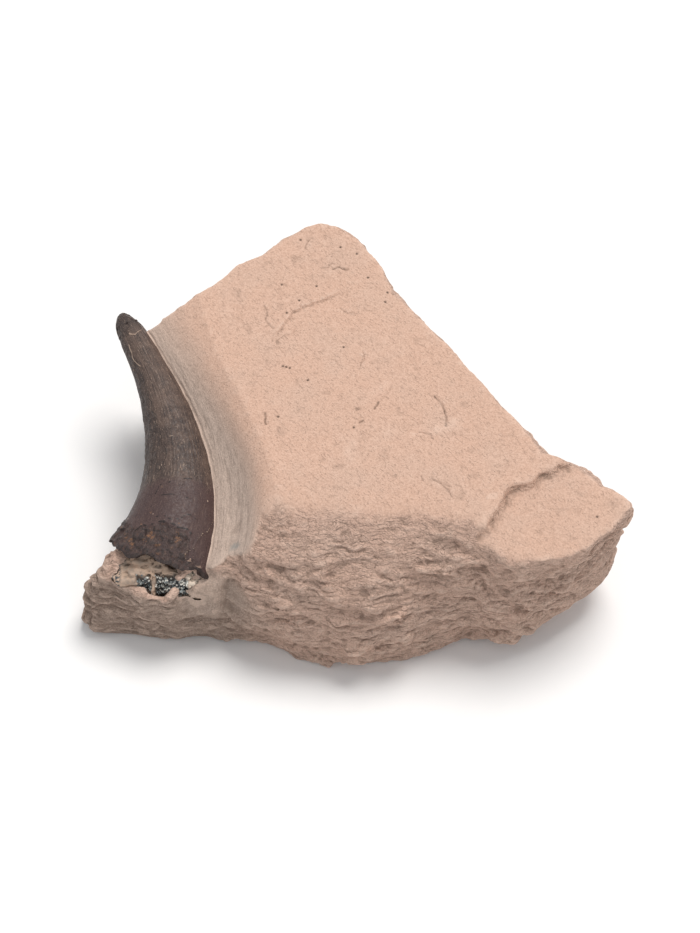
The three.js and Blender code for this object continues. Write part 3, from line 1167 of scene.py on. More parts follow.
def grain_group() -> NodeTree:
    """The sandy grain of the stone: height, tone, fine strokes and sparse dark pits.

    Returns:
        The shader group.
    """
    inputs = {"Place": Kind.PLACE, "Grain size": Kind.NUMBER, "Pit share": Kind.NUMBER}
    outputs = dict.fromkeys(("Height", "Tone", "Strokes", "Pits"), Kind.NUMBER)
    group = new_group("sandy_grain", TreeKind.SHADER, inputs, outputs)
    wires = group_wires(group)
    finer = 1.0 / wires["Grain size"]
    grains = Wire(noise_node(group, wires["Place"], finer, 3.0, 0.65).outputs["Fac"])
    turned = add_node(group, "ShaderNodeMapping", {
        "Vector": wires["Place"], "Rotation": (0.0, 0.0, -0.8), "Scale": (2.4, 1.0, 1.0),
    }, vector_type="TEXTURE")
    strokes = Wire(noise_node(group, Wire(turned.outputs[0]), finer * 0.9, 1.5, 0.5, 0.7).outputs["Fac"])
    spots = add_node(group, "ShaderNodeTexVoronoi", {
        "Vector": wires["Place"], "Scale": finer * 0.36, "Randomness": 1.0,
    })
    lots = add_node(group, "ShaderNodeSeparateColor", {0: Wire(spots.outputs["Color"])})
    chosen = Wire(lots.outputs[0]).mapped(0.9, 0.97) * wires["Pit share"]
    pits = Wire(spots.outputs["Distance"]).mapped(0.16, 0.06) * chosen
    scratches = strokes.mapped(0.4, 0.32)
    height = grains * 0.8 - scratches * 0.35 - pits * 0.6
    group_out(group, {"Height": height, "Tone": grains.mapped(0.3, 0.7), "Strokes": scratches, "Pits": pits})
    return group


def crinkle_group() -> NodeTree:
    """The fine crinkle of torn stone: short wavering folds that lie along the beds, and a mask of their
    valleys for painted shade.

    Returns:
        The shader group.
    """
    group = new_group("torn_crinkle", TreeKind.SHADER, {"Place": Kind.PLACE, "Spacing": Kind.NUMBER},
                      {"Height": Kind.NUMBER, "Creases": Kind.NUMBER})
    wires = group_wires(group)
    places = vector_node(group, "SCALE", wires["Place"], 1.0 / wires["Spacing"])
    sway = vector_node(group, "SCALE", Wire(noise_node(group, places, 0.3).outputs["Color"]), 2.6)
    flat = vector_node(group, "MULTIPLY", vector_node(group, "ADD", places, sway), (0.36, 0.6, 1.0))
    folds, ripples = noise_node(group, flat, 0.75, 2.5, 0.55), noise_node(group, flat, 2.0, 2.0, 0.6)
    valley = math_node(group, "ABSOLUTE", Wire(folds.outputs["Fac"]) - 0.5)
    ripple = math_node(group, "ABSOLUTE", Wire(ripples.outputs["Fac"]) - 0.5)
    # The fold valleys, which the stone darkens as painted shade.
    fold_shade = valley.mapped(0.028, 0.0) + ripple.mapped(0.03, 0.0) * 0.4
    group_out(group, {"Height": valley * 3.4 + ripple * 1.5, "Creases": fold_shade.clipped()})
    return group


@dataclass(frozen=True)
class Effects:
    """The shader node groups that the finishes share, each built once."""

    grain: NodeTree
    crinkle: NodeTree

    def sandy(self, tree: NodeTree, places: Wire, size: float, pits: float) -> dict[str, Wire]:
        """Puts sandy grain of a size, with a share of pits, into a material."""
        return use_group(tree, self.grain, {"Place": places, "Grain size": size, "Pit share": pits})

    def torn(self, tree: NodeTree, places: Wire, spacing: float) -> dict[str, Wire]:
        """Puts the crinkle of torn stone into a material."""
        return use_group(tree, self.crinkle, {"Place": places, "Spacing": spacing})


# ---- Finishes ----


def start_material(name: str, roughness: float,
                   gloss: float) -> tuple[Material, Node, Wire]:
    """Starts a material.

    Args:
        name: Its name.
        roughness: Its usual roughness.
        gloss: Its specular level.

    Returns:
        The material, its shader and its places in millimetres.
    """
    material = bpy.data.materials.new(name)
    material.use_nodes = True
    shader = material.node_tree.nodes["Principled BSDF"]
    fill(shader, {"Roughness": roughness, "Specular IOR Level": gloss})
    source = add_node(material.node_tree, "ShaderNodeTexCoord")
    places = vector_node(material.node_tree, "SCALE", Wire(source.outputs["Object"]), 1.0 / MM)
    return material, shader, places


def masks(tree: NodeTree, *names: str) -> list[Wire]:
    """Reads masks, the numbers that a mesh keeps for each vertex."""
    nodes = [add_node(tree, "ShaderNodeAttribute", attribute_name=name) for name in names]
    return [Wire(node.outputs["Fac"]) for node in nodes]


def texture(tree: NodeTree, places: Wire, size: float, detail: float = 3.0,
            roughness: float = 0.55, distortion: float = 0.0) -> Wire:
    """Adds soft noise with lumps of a size in millimetres."""
    return Wire(noise_node(tree, places, 1.0 / size, detail, roughness, distortion).outputs["Fac"])


def texture_along(tree: NodeTree, distortion: float, **ways: Wire) -> Wire:
    """Adds noise that runs along a surface's own ways, each already scaled."""
    along = add_node(tree, "ShaderNodeCombineXYZ", ways)
    return texture(tree, Wire(along.outputs[0]), 1.0, 3.0, 0.6, distortion)


@dataclass(frozen=True)
class StoneFinish:
    """Pinkish beige limestone: sandy on the face, greyer in the hollow, torn where it broke, with painted
    shade in its creases and low left faces and painted highlights on its crests and rim.
    """

    effects: Effects
    face: Colour = tint(214, 177, 156)
    torn: Colour = tint(208, 174, 156)
    prepared: Colour = tint(203, 182, 168)
    # Dark brown for the fine strokes, grain and tool marks, and for painted shade in creases and crinkle
    # valleys.
    crease: Colour = tint(104, 86, 74)
    # Greyer and darker, for the low broken faces at the left: partly greyer stone, partly painted shade.
    dull: Colour = tint(152, 134, 122)
    # Pale for chalky patches and light grains, and for painted highlights on crests and along the rim.
    chalk: Colour = tint(240, 212, 194)
    stain: Colour = tint(60, 52, 46)
    mineral: Colour = tint(128, 138, 138)

    def material(self) -> Material:
        """Builds the material.

        Returns:
            The finished material.
        """
        material, shader, places = start_material("limestone_matrix", 0.93, 0.2)
        tree = material.node_tree
        broken, hollow, crease, step, dull = masks(tree, "broken", "hollow", "crease", "step", "dull")
        rim, stain, chalk, mineral = masks(tree, "rim", "stain", "chalk", "mineral")
        beside, run = masks(tree, "beside", "run")
        grain = self.effects.sandy(tree, places, 0.3, 0.6)
        torn = self.effects.torn(tree, places, 0.8)
        brushed = texture_along(tree, 0.5, X=beside * 2.4, Y=run * 0.4)
        clouds = texture(tree, places, 7.0)
        tears = (broken + step).clipped()
        base = coats(
            tree, self.face,
            (broken, self.torn),
            (hollow, self.prepared),
            # Painted shade, with a greyer tone, on the low broken faces at the left.
            (dull * 0.8, self.dull),
            (clouds.mapped(0.35, 0.75) * 0.2, self.prepared),
            (grain["Tone"].mapped(0.6, 0.2) * 0.14, self.crease),
            (grain["Tone"].mapped(0.5, 0.9) * 0.2, self.chalk),
            (grain["Strokes"] * (1.0 - broken) * (1.0 - hollow) * 0.16, self.crease),
            (brushed.mapped(0.5, 0.3) * hollow * 0.25, self.crease),
            # Painted shade in the valleys of the torn crinkle.
            (torn["Creases"] * tears * 0.4, self.crease),
            # Painted shade in creases and painted highlights on crests, by how far the surface folds.
            (crease.mapped(0.004, 0.05) * 0.45, self.crease),
            (crease.mapped(-0.008, -0.05) * 0.3, self.chalk),
            (grain["Pits"] * (1.0 - broken * 0.6) * 0.7, self.stain),
            # Painted highlight along the rim's crest, with the pale chalk patches.
            ((rim * 0.35 + chalk * 0.4).clipped(), self.chalk),
            (stain * 0.8, self.stain),
            (mineral * 0.55, self.mineral),
        )
        plug(shader.inputs["Base Color"], base)
        plug(shader.inputs["Normal"], bumps(
            tree,
            (grain["Height"] * (1.0 - hollow * 0.6), 0.14),
            (brushed * hollow, 0.16),
            (torn["Height"] * (broken + step * 0.7).clipped(), 0.42),
        ))
        return material


@dataclass(frozen=True)
class EnamelFinish:
    """Dark brown enamel, finely ridged, plum-brown and smoother low down, crumbling at its base."""

    effects: Effects
    brown: Colour = tint(104, 86, 77)
    dark: Colour = tint(58, 48, 46)
    plum: Colour = tint(79, 60, 59)
    ochre: Colour = tint(150, 108, 76)
    pale: Colour = tint(196, 170, 150)
    # Black for the dark specks, ticks and crack lines, and for painted shade in creases.
    black: Colour = tint(34, 29, 29)

    def material(self) -> Material:
        """Builds the material.

        Returns:
            The finished material.
        """
        material, shader, places = start_material("ridged_enamel", 0.55, 0.35)
        tree = material.node_tree
        brown, plum, shade, crumble, ochre = masks(tree, "brown", "plum", "shade", "crumble", "ochre")
        crack, line, crease, reach = masks(tree, "crack", "line", "crease", "reach")
        to_right, to_top = masks(tree, "to_right", "to_top")
        patches = texture(tree, places, 2.4, 4.0, 0.6)
        specks = texture(tree, places, 0.2, 2.0, 0.6)
        grit = texture(tree, places, 0.5, 3.0, 0.65)
        flecks = self.effects.sandy(tree, places, 0.42, 1.0)
        streaks = texture_along(tree, 0.4, X=to_right * 13.0, Y=to_top * 13.0, Z=reach * 9.0)
        ticks = texture_along(tree, 0.4, X=to_right * 28.6, Y=to_top * 28.6, Z=reach * 45.0)
        pale_ticks = ticks.mapped(0.58, 0.72) * (0.45 - plum * 0.33) * (1.0 - crumble * 0.7)
        mottle = patches.mapped(0.38, 0.64) * 0.5 + streaks.mapped(0.3, 0.7) * 0.4
        base = coats(
            tree, self.dark,
            (mottle, self.brown),
            (brown * streaks.mapped(0.3, 0.6) * 0.6, self.brown),
            (plum * 0.85, self.plum),
            (crumble * grit.mapped(0.58, 0.68) * 0.3, self.ochre),
            (shade * 0.75, self.dark),
            (specks.mapped(0.58, 0.72) * (0.35 - plum * 0.2), self.pale),
            (specks.mapped(0.42, 0.3) * 0.5, self.black),
            (ochre * grit.mapped(0.45, 0.62) * 0.75, self.ochre),
            # Painted shade in creases.
            (crease.mapped(0.002, 0.03) * 0.6, self.black),
            (pale_ticks, self.pale),
            (ticks.mapped(0.42, 0.3) * 0.5, self.black),
            (flecks["Pits"], self.pale),
            ((line + specks * 0.4).mapped(0.75, 0.45) * 0.85, self.black),
            ((crack + specks * 0.6).mapped(0.75, 0.5) * 0.75, self.pale),
        )
        plug(shader.inputs["Base Color"], base)
        plug(shader.inputs["Roughness"], grit.mapped(0.35, 0.7, 0.42, 0.7))
        plug(shader.inputs["Normal"], bumps(
            tree,
            (specks, 0.05),
            (streaks * (1.0 - plum * 0.8), 0.1),
            (grit * (crumble + shade * 0.4), 0.25),
        ))
        return material


@dataclass(frozen=True)
class RootFinish:
    """Broken root: tan and crumbly, dark round its crystals, with painted shade in its creases and its hole.
    """

    effects: Effects
    tan: Colour = tint(204, 176, 154)
    grey: Colour = tint(164, 150, 138)
    chalk: Colour = tint(226, 212, 196)
    blue: Colour = tint(66, 74, 80)
    # Near-black, for painted shade in the creases and the hole.
    dark: Colour = tint(40, 37, 38)

    def material(self) -> Material:
        """Builds the material.

        Returns:
            The finished material.
        """
        material, shader, places = start_material("broken_root", 0.85, 0.3)
        tree = material.node_tree
        crease, crust, pale, speckled, hole = masks(tree, "crease", "crust", "pale", "speckled", "hole")
        grain = self.effects.sandy(tree, places, 0.3, 0.5)
        patches = texture(tree, places, 1.6)
        specks = texture(tree, places, 0.45, 2.0)
        base = coats(
            tree, self.tan,
            (patches.mapped(0.45, 0.65) * 0.6, self.grey),
            (pale * 0.8, self.chalk),
            # Painted shade in creases.
            (crease.mapped(0.006, 0.04) * 0.7, self.dark),
            (speckled * specks.mapped(0.44, 0.56), self.blue),
            (crust * 0.85, self.blue),
            # Painted shade: the hole's shallow dip is filled with near-black.
            (hole, self.dark),
            (grain["Tone"].mapped(0.6, 0.2) * 0.2, self.grey),
        )
        plug(shader.inputs["Base Color"], base)
        plug(shader.inputs["Normal"], bumps(tree, (grain["Height"], 0.1)))
        return material


@dataclass(frozen=True)
class MineralFinish:
    """Crystal grains from dark blue-grey to nearly white."""

    dark: Colour = tint(104, 114, 118)
    mid: Colour = tint(172, 178, 176)
    light: Colour = tint(238, 234, 224)

    def material(self) -> Material:
        """Builds the material.

        Returns:
            The finished material.
        """
        material, shader, places = start_material("blue_grey_mineral", 0.4, 0.5)
        tree = material.node_tree
        (tone,) = masks(tree, "tone")
        base = coats(
            tree, self.dark,
            (tone.mapped(0.05, 0.35), self.mid),
            (tone.mapped(0.35, 0.7), self.light),
        )
        plug(shader.inputs["Base Color"], base)
        plug(shader.inputs["Normal"], bumps(tree, (texture(tree, places, 0.15, 2.0), 0.03)))
        return material


# ---- Matrix block ----


class MarkKind(Enum):
    """What a mark on the block's flat face is."""

    CRACK = "crack"
    SCAR = "scar"
    CHALK = "chalk"
    SMEAR = "smear"


@dataclass(frozen=True)
class FaceMark:
    """A mark on the flat face: its kind, its path in plan, and its width and depth."""

    kind: MarkKind
    path: tuple[Spot, ...]
    width: float = 0.35
    depth: float = 0.2


FACE_MARKS: tuple[FaceMark, ...] = tuple(FaceMark(kind, *row) for kind, rows in {
    MarkKind.SCAR: (
        (((-13, 13.5), (-12, 15.3), (-11.1, 17), (-9.4, 18.7), (-6.4, 19.6), (-4.9, 20.4)), 3.2, 0.4),
        (((-14, 9.9), (-13.5, 11.2), (-12.6, 11.9), (-11.2, 12.4), (-10.9, 13)), 2.0, 0.22),
    ),
    MarkKind.CRACK: (
        (((-16.1, 18.5), (-15.5, 17.2), (-15.7, 15.5), (-15.1, 14.1), (-14.2, 13.4)), 0.4, 0.2),
        (((-5.8, 27.4), (-4.6, 27.6)),),
        (((-4.6, 28.1), (-4, 28.5), (-3.4, 28.3)),),
        (((-3.7, 27.2), (-2.6, 27.5), (-1.1, 26.9)), 0.5, 0.35),
        (((-8.9, 32), (-8.2, 34.1)), 0.4, 0.2),
        (((-2.3, 18.2), (-1.3, 17), (-0.1, 17.2), (0.2, 16.6)),),
        (((3.6, -4.3), (4.4, -2.9)), 0.4, 0.4),
        (((1, -7.5), (1.7, -7)), 0.4, 0.4),
        (((14.1, -1.7), (15.1, -3), (15.9, -4.7), (16.1, -6.3), (16, -8.1)), 0.45, 0.3),
        (((13.4, -19.1), (15, -20.1), (16.1, -21.3), (16.7, -22.5)), 0.4, 0.25),
        (((15.1, -20.1), (16.4, -20.5)),),
        (((11.5, -18.5), (11.9, -19.4)),),
        (((1.7, 8.4), (1.8, 7.4), (1.2, 4.8)), 0.3, 0.2),
        (((-3.5, 6.7), (-2.1, 4.3)), 0.3, 0.15),
        (((11.4, -9.4), (13.2, -9.8), (13.7, -10.7)),),
        (((-15.6, -5.4), (-15.3, -7.9)), 0.4, 0.35),
    ),
    MarkKind.CHALK: (
        (((-0.1, -11.6), (-1.3, -13.6)), 1.2),
        (((5.9, -9.3),), 1.3),
        (((13.8, -9), (17.4, -7.5)), 1.5),
        (((5.8, 0.9), (3.5, -0.5)), 1.3),
    ),
    MarkKind.SMEAR: (
        (((5.4, -14.5),), 1.4),
    ),
}.items() for row in rows)
FACE_PITS: tuple[Spot, ...] = (
    (-13, 23.4), (-6.7, 23.2), (-9.7, 33.9), (-9.8, 19.9), (-2.4, 32.2), (0.6, 30.7), (2.6, 25.2),
    (6.1, 21.8), (5.7, 19.6), (-1.8, 9.2), (-12, 17), (0, -8.4), (-8.1, 1.8), (41.7, -25.5), (28.7, -35.1),
    (-12.5, 4.9), (-11.9, 4.7), (-11.3, 4.5), (-13.2, -6.2),
)
MINERAL_SEAM: tuple[Spot, ...] = ((-21.2, -26), (-20.6, -28), (-20.3, -29.6), (-20.1, -31.2))


@dataclass
class BlockZones:
    """How much each place of the block's skin belongs to a zone, from 0 to 1, and where it lies."""

    column: BlockColumn
    broken: Array
    hollow: Array
    scoop: Array
    rim: Array
    step: Array
    resting: Array
    beside: Array
    run: Array
    dull: Array


@dataclass
class MatrixBlock:
    """The block of limestone, with its prepared hollow and the socket of the tooth."""

    skin: Material
    form: BlockForm = field(default_factory=BlockForm)
    cell: float = 0.62
    triangles: int = 194_000
    sharp_angle: float = 42.0
    flakes: tuple[Course, ...] = (Course(2.9, 0.5, Seed.FLAKE_THICK), Course(1.6, 0.3, Seed.FLAKE_THIN))
    folds: tuple[Course, ...] = (Course(2.3, 0.5, Seed.FOLD_WIDE), Course(1.2, 0.42, Seed.FOLD_NARROW))
    name: str = "limestone_block"

    def build(self, cutters: Sequence[Object]) -> Object:
        """Builds and dresses the block.

        Args:
            cutters: Grown copies of what lies in its socket. They are used up.

        Returns:
            The block.
        """
        piece = make_piece(self.name, *self.skinned())
        subdivide(piece)
        self.refine_marks(piece)
        self.carve(piece)
        for cutter in cutters:
            cut_away(piece, cutter)
        thin_out(piece, self.triangles)
        self.paint(piece.data)
        sharpen(piece.data, self.sharp_angle)
        dress(piece, self.skin)
        return piece

    def skinned(self) -> tuple[Array, Array]:
        """Skins the block's field on a fine grid.

        Returns:
            Vertices and quads.
        """
        axes = [np.arange(low, high, self.cell) for low, high in zip(self.form.low, self.form.high)]
        x, y = np.meshgrid(axes[0], axes[1], indexing="ij")
        column = self.form.column(x, y)
        raised = BlockColumn(**{key: value[..., None] for key, value in vars(column).items()})
        values = self.form.values(raised, x[..., None], y[..., None], axes[2][None, None, :])
        return field_skin(untangled(values), self.form.low, self.cell)

    def refine_marks(self, piece: Object) -> None:
        """Halves the faces round the marks of the flat face and along the rim.

        Args:
            piece: The block, before it is carved.
        """
        mesh = piece.data
        x, y, z = (vectors(mesh.polygons, "center") / MM - CENTRING).T
        near = np.full(len(x), np.inf)
        for mark in FACE_MARKS:
            if mark.kind in (MarkKind.CRACK, MarkKind.SCAR):
                near = np.minimum(near, path_distance(x, y, mark.path) - 0.5)
        for pit in FACE_PITS:
            near = np.minimum(near, path_distance(x, y, (pit,)))
        t, right, _ = self.form.crown.place(x, y)
        beside = right - self.form.crown.rim(t)
        marked = (near < 0.6) & (z > 26)
        along_rim = (np.abs(beside) < 1.6) & (z > 14) & (t > 0) & (t < 0.97)
        wanted = marked | along_rim
        grid = bmesh.new()
        grid.from_mesh(mesh)
        grid.faces.ensure_lookup_table()
        edges = {edge for index in np.flatnonzero(wanted) for edge in grid.faces[index].edges}
        bmesh.ops.subdivide_edges(grid, edges=list(edges), cuts=1, use_grid_fill=True)
        bmesh.ops.triangulate(grid, faces=[face for face in grid.faces if len(face.verts) > 4])
        grid.to_mesh(mesh)
        grid.free()
        mesh.shade_smooth()

    def zones(self, points: Array) -> BlockZones:
        """Works out which zone of the block each place of its skin belongs to.

        Args:
            points: Drafted places on the skin.

        Returns:
            The zones' shares.
        """
        x, y, z = points.T
        form = self.form
        column = form.column(x, y)
        side = form.side(column, x, y, z)
        capped = np.maximum(side, z - column.top)
        resting = smoothstep(-0.5, 0.3, column.underside - z - capped)
        ragged = 0.5 * noise((x, y, 0.0), 1.8, Seed.BREAK_EDGE)
        ragged = ragged + 0.25 * noise((x, y, 0.0), 0.7, Seed.BREAK_EDGE_FINE)
        rolled = 0.7 * (column.roll - form.edge_roll)
        broken = smoothstep(-0.35 - rolled, 0.2, side - (z - column.top) + ragged)
        foot = smoothstep(-0.3, 1.2, column.hollow - column.foot) * smoothstep(-14, -18, x)
        hollow = smoothstep(0.1, 6.5, column.face - column.hollow) * (1.0 - foot) * (1.0 - broken)
        scoop = smoothstep(6.5, 3.0, np.hypot((x + 24.5) / 1.4, z - 12.5)) * smoothstep(-24, -28, y)
        beside = column.right - form.crown.rim(column.along)
        # A thin line along the rim's crest that the finish paints pale: a painted highlight.
        rim = bell(beside - 0.2, 0.22) * (1.0 - foot) * smoothstep(0.0, 0.04, column.along)
        # The low broken faces at the left, which the finish greys and darkens: partly greyer stone, partly
        # painted shade.
        dull = smoothstep(-12, -24, x) * smoothstep(18, 14, z) * broken
        broken = np.maximum(broken, foot) * (1.0 - 0.75 * scoop)
        step = 4.0 * column.plate_share * (1.0 - column.plate_share) * (1.0 - broken)
        return BlockZones(
            column=column,
            broken=broken,
            hollow=hollow,
            scoop=scoop,
            rim=rim * (1.0 - broken),
            step=step,
            resting=resting,
            beside=beside,
            run=column.along * form.crown.rim_length,
            dull=dull,
        )

    def torn(self, x: Array, y: Array, z: Array) -> Array:
        """How far the lapped flakes of broken stone stand out.

        Args:
            x, y, z: Drafted places.

        Returns:
            Millimetres along the surface's normal.
        """
        dip = 1.3 * noise((x, y, z), 5.5, Seed.TORN_DIP)
        dip = dip + 0.6 * noise((x, y, z), (2.3, 2.3, 2.0), Seed.TORN_DIP_FINE)
        total = 0.3 * noise((x, y, z), (4, 4, 2.2), Seed.TORN_SWELL)
        for course in self.flakes:
            height = course.height
            sway = 0.35 * height * noise((x, y, z), height, course.seed)
            phase = (z + 0.35 * y + dip + sway) / height
            share = phase - np.floor(phase)
            patches = noise((x, y, z), (2.2 * height, 2.2 * height, 1.3 * height), course.seed + 1)
            strength = course.depth * smoothstep(-0.45, 0.45, patches)
            total += strength * ((1.0 - share) * smoothstep(0.0, 0.3, share) - 0.35)
        for course in self.folds:
            size = course.height
            sway = 0.8 * noise((x, y, z), 2.0 * size, course.seed + 2)
            swayed = (x / (2.6 * size), y / (1.5 * size) + sway, z / size + sway)
            total += course.depth * (np.abs(noise(swayed, 1, course.seed)) - 0.35)
        calm = smoothstep(0.25, 0.5, noise((x, y, z), (7, 7, 4), Seed.TORN_CALM))
        return total * (1.0 - 0.6 * calm) - 0.15

    def carve(self, piece: Object) -> None:
        """Gives the skin its small relief.

        Args:
            piece: The block.
        """
        points, normals = points_and_normals(piece.data)
        zones = self.zones(points)
        x, y, z = points.T
        level = (1.0 - zones.broken) * (1.0 - zones.resting)
        below = 0.4 + 0.6 * smoothstep(0.0, 3.0, zones.column.face - z)
        relief = self.torn(x, y, z) * zones.broken * (1.0 - 0.85 * zones.scoop) * below
        relief += 0.6 * self.torn(x, y, z + 9.0) * zones.step
        relief += level * 0.05 * noise((x, y, 0.0), 1.1, Seed.FACE_GRAIN)
        relief += level * (1.0 - zones.hollow) * self.face_relief(x, y)
        relief += level * self.hollow_relief(zones)
        points += normals * (relief * (1.0 - zones.resting))[:, None]
        points[:, 2] = np.maximum(points[:, 2], 0.0)
        move_points(piece.data, points)

    def face_relief(self, x: Array, y: Array) -> Array:
        """Height of the flat face's cracks, scars and pits.

        Args:
            x, y: Places in plan.

        Returns:
            Millimetres.
        """
        total = 0.06 * noise((x, y, 0.0), 2.6, Seed.FACE_UNEVEN)
        crumbs = noise((x, y, 0.0), 0.8, Seed.MARK_CRUMBS)
        for mark in FACE_MARKS:
            ragged_x = x + 0.25 * noise((x, y, 0.0), 0.9, Seed.MARK_X)
            ragged_y = y + 0.25 * noise((x, y, 0.0), 0.9, Seed.MARK_Y)
            away = path_distance(ragged_x, ragged_y, mark.path)
            if mark.kind is MarkKind.CRACK:
                total = total - 0.6 * mark.depth * bell(away, 0.45 * mark.width)
            elif mark.kind is MarkKind.SCAR:
                away = path_distance(ragged_x + 0.3 * crumbs, ragged_y - 0.3 * crumbs, mark.path)
                lower = smoothstep(-0.2, 0.2, path_side(ragged_x, ragged_y, mark.path))
                total = total - mark.depth * (lower + 0.2 * crumbs) * np.exp(-away / mark.width)
        for pit in FACE_PITS:
            total = total - 0.2 * bell(path_distance(x, y, (pit,)), 0.2)
        return total

    def hollow_relief(self, zones: BlockZones) -> Array:
        """Height of the tool marks along the tooth and of the crests of the rim.

        Args:
            zones: Where each vertex lies.

        Returns:
            Millimetres.
        """
        flat, along = (zones.beside, zones.run, 0.0), (zones.run, 0.0 * zones.run, 0.0)
        strokes = noise(flat, (0.7, 6, 1), Seed.TOOL_STROKES)
        strokes = strokes + 0.6 * noise(flat, (0.35, 4, 1), Seed.TOOL_STROKES_FINE)
        wander = 0.12 * noise(along, 3.5, Seed.RIM_WANDER) + 0.05 * noise(along, 0.9, Seed.RIM_WANDER_FINE)
        inner = bell(zones.beside - 0.1 - wander, 0.14)
        outer = bell(zones.beside - 0.7 - 1.6 * wander, 0.18) * smoothstep(0.3, 0.55, zones.column.along)
        ending = smoothstep(0.0, 0.05, zones.column.along)
        return 0.06 * strokes * zones.hollow + (0.16 * inner + 0.1 * outer) * ending

    def paint(self, mesh: Mesh) -> None:
        """Keeps the masks that the finish reads.

        Args:
            mesh: The block's finished mesh.
        """
        points = drafted_points(mesh)
        zones = self.zones(points)
        x, y, _ = points.T
        chalk = np.zeros(len(points))
        stain = np.zeros(len(points))
        for mark in FACE_MARKS:
            away = path_distance(x, y, mark.path)
            if mark.kind is MarkKind.CHALK:
                patchy = 0.5 + 0.5 * noise((x, y, 0.0), 0.8, Seed.CHALK)
                chalk = np.maximum(chalk, smoothstep(mark.width, 0.0, away) * patchy)
            elif mark.kind is MarkKind.SMEAR:
                stain = np.maximum(stain, 0.25 * smoothstep(mark.width, 0.0, away))
            elif mark.kind is MarkKind.CRACK:
                stain = np.maximum(stain, 1.5 * mark.depth * smoothstep(0.7 * mark.width, 0.0, away))
        for pit in FACE_PITS:
            stain = np.maximum(stain, smoothstep(0.35, 0.1, path_distance(x, y, (pit,))))
        ragged_x = x + 0.4 * noise((x, y, 0.0), 1, Seed.MINERAL_EDGE)
        mineral = smoothstep(1.1, 0.3, path_distance(ragged_x, y, MINERAL_SEAM))
        mineral *= smoothstep(-0.1, 0.4, noise((x, y, 0.0), (0.8, 1.3, 1), Seed.MINERAL))
        mineral *= smoothstep(0.0, 0.3, zones.hollow)
        level = (1.0 - zones.broken) * (1.0 - zones.resting) * (1.0 - zones.hollow)
        store(
            mesh,
            mineral=mineral,
            beside=zones.beside,
            run=zones.run,
            step=zones.step,
            broken=zones.broken,
            hollow=np.maximum(zones.hollow, zones.scoop * 0.9),
            # The rim's line, for its painted highlight.
            rim=zones.rim,
            dull=zones.dull,
            chalk=chalk * level,
            stain=stain * level,
            # How far each vertex lies in a crease, read for painted shade in creases and painted highlights
            # on crests.
            crease=hollowness(mesh),
        )


def flakes(places: Sequence[Array], size: float | Point, seed: int) -> Array:
    """Height of tilted flakes, each a cell round its own random place.

    Args:
        places: The places' three coordinates.
        size: How large the flakes are, as one number or one for each axis.
        seed: Picks the pattern.

    Returns:
        Values from about 0 to 1, with a step from each flake to the next.
    """
    places = in_lumps(places, size)
    cells = [np.floor(axis) for axis in places]
    nearest = np.full(places[0].shape, np.inf)
    height = np.zeros(places[0].shape)
    for number in range(27):
        offsets = (number % 3 - 1, number // 3 % 3 - 1, number // 9 - 1)
        here = [cell + offset for cell, offset in zip(cells, offsets)]
        away = [axis - cell - place_value(*here, seed + turn)
                for turn, (axis, cell) in enumerate(zip(places, here))]
        distance = away[0] ** 2 + away[1] ** 2 + away[2] ** 2
        tilt = sum(part * (place_value(*here, seed + 5 + turn) - 0.5) for turn, part in enumerate(away))
        closer = distance < nearest
        nearest = np.where(closer, distance, nearest)
        height = np.where(closer, 0.5 + 0.7 * (place_value(*here, seed + 9) - 0.5) + 0.9 * tilt, height)
    return height


def sharpen(mesh: Mesh, degrees: float) -> None:
    """Marks the edges that turn more than an angle as sharp."""
    mesh.shade_smooth()
    mesh.set_sharp_from_angle(angle=math.radians(degrees))


def dress(piece: Object, material: Material) -> None:
    """Gives a piece its one material."""
    piece.data.materials.clear()
    piece.data.materials.append(material)


def adopt(piece: Object, node: str = "") -> None:
    """Lets a piece ride on the body, and in place of a solid if one is named.

    Args:
        piece: The piece.
        node: The solid that it replaces.
    """
    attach(piece, BODY)
    if node:
        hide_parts(node)
    LOG.info("%s: %d triangles", piece.name, triangle_count(piece))


# ---- Tooth crown ----


@dataclass(frozen=True)
class CrownMark:
    """A crack on the crown: its path as (way along, degrees round), its width, depth and paleness."""

    path: tuple[Spot, ...]
    width: float
    depth: float
    pale: float


CROWN_MARKS: tuple[CrownMark, ...] = (
    CrownMark(((0.44, 110), (0.435, 88), (0.435, 61)), 0.2, 0.06, 0.9),
    CrownMark(((0.858, 138), (0.82, 139), (0.78, 138), (0.752, 125)), 0.23, 0.12, 0.75),
    CrownMark(((0.892, 106), (0.876, 93), (0.89, 61)), 0.23, 0.09, 0.7),
    CrownMark(((0.653, 128), (0.567, 129), (0.473, 120), (0.383, 112), (0.317, 117)), 0.2, 0.07, 0.3),
    CrownMark(((0.226, 111), (0.228, 97), (0.224, 82), (0.21, 67)), 0.2, 0.09, 0.0),
    CrownMark(((0.23, 122), (0.265, 106), (0.273, 100)), 0.23, 0.09, 0.0),
    CrownMark(((0.281, 82), (0.281, 63), (0.275, 49)), 0.2, 0.07, 0.3),
    CrownMark(((0.17, 31), (0.128, 40), (0.102, 49), (0.08, 52), (0.052, 59), (0.036, 58), (0.02, 54)),
              0.21, 0.11, 0.7),
    CrownMark(((0.066, 123), (0.1, 120), (0.118, 106), (0.122, 95), (0.122, 80), (0.114, 69), (0.106, 60)),
              0.26, 0.18, 0.25),
    CrownMark(((0.142, 111), (0.142, 98), (0.142, 85), (0.152, 71), (0.156, 58)), 0.2, 0.09, 0.15),
    CrownMark(((0.028, 40), (0.05, 37), (0.06, 34)), 0.16, 0.07, 0.9),
)
BASE_ARC: tuple[Spot, ...] = (
    (35, 0.02), (55, 0.05), (60, 0.1), (69, 0.112), (80, 0.12), (95, 0.12), (106, 0.116), (120, 0.1),
    (128, 0.09), (140, 0.1), (165, 0.12),
)
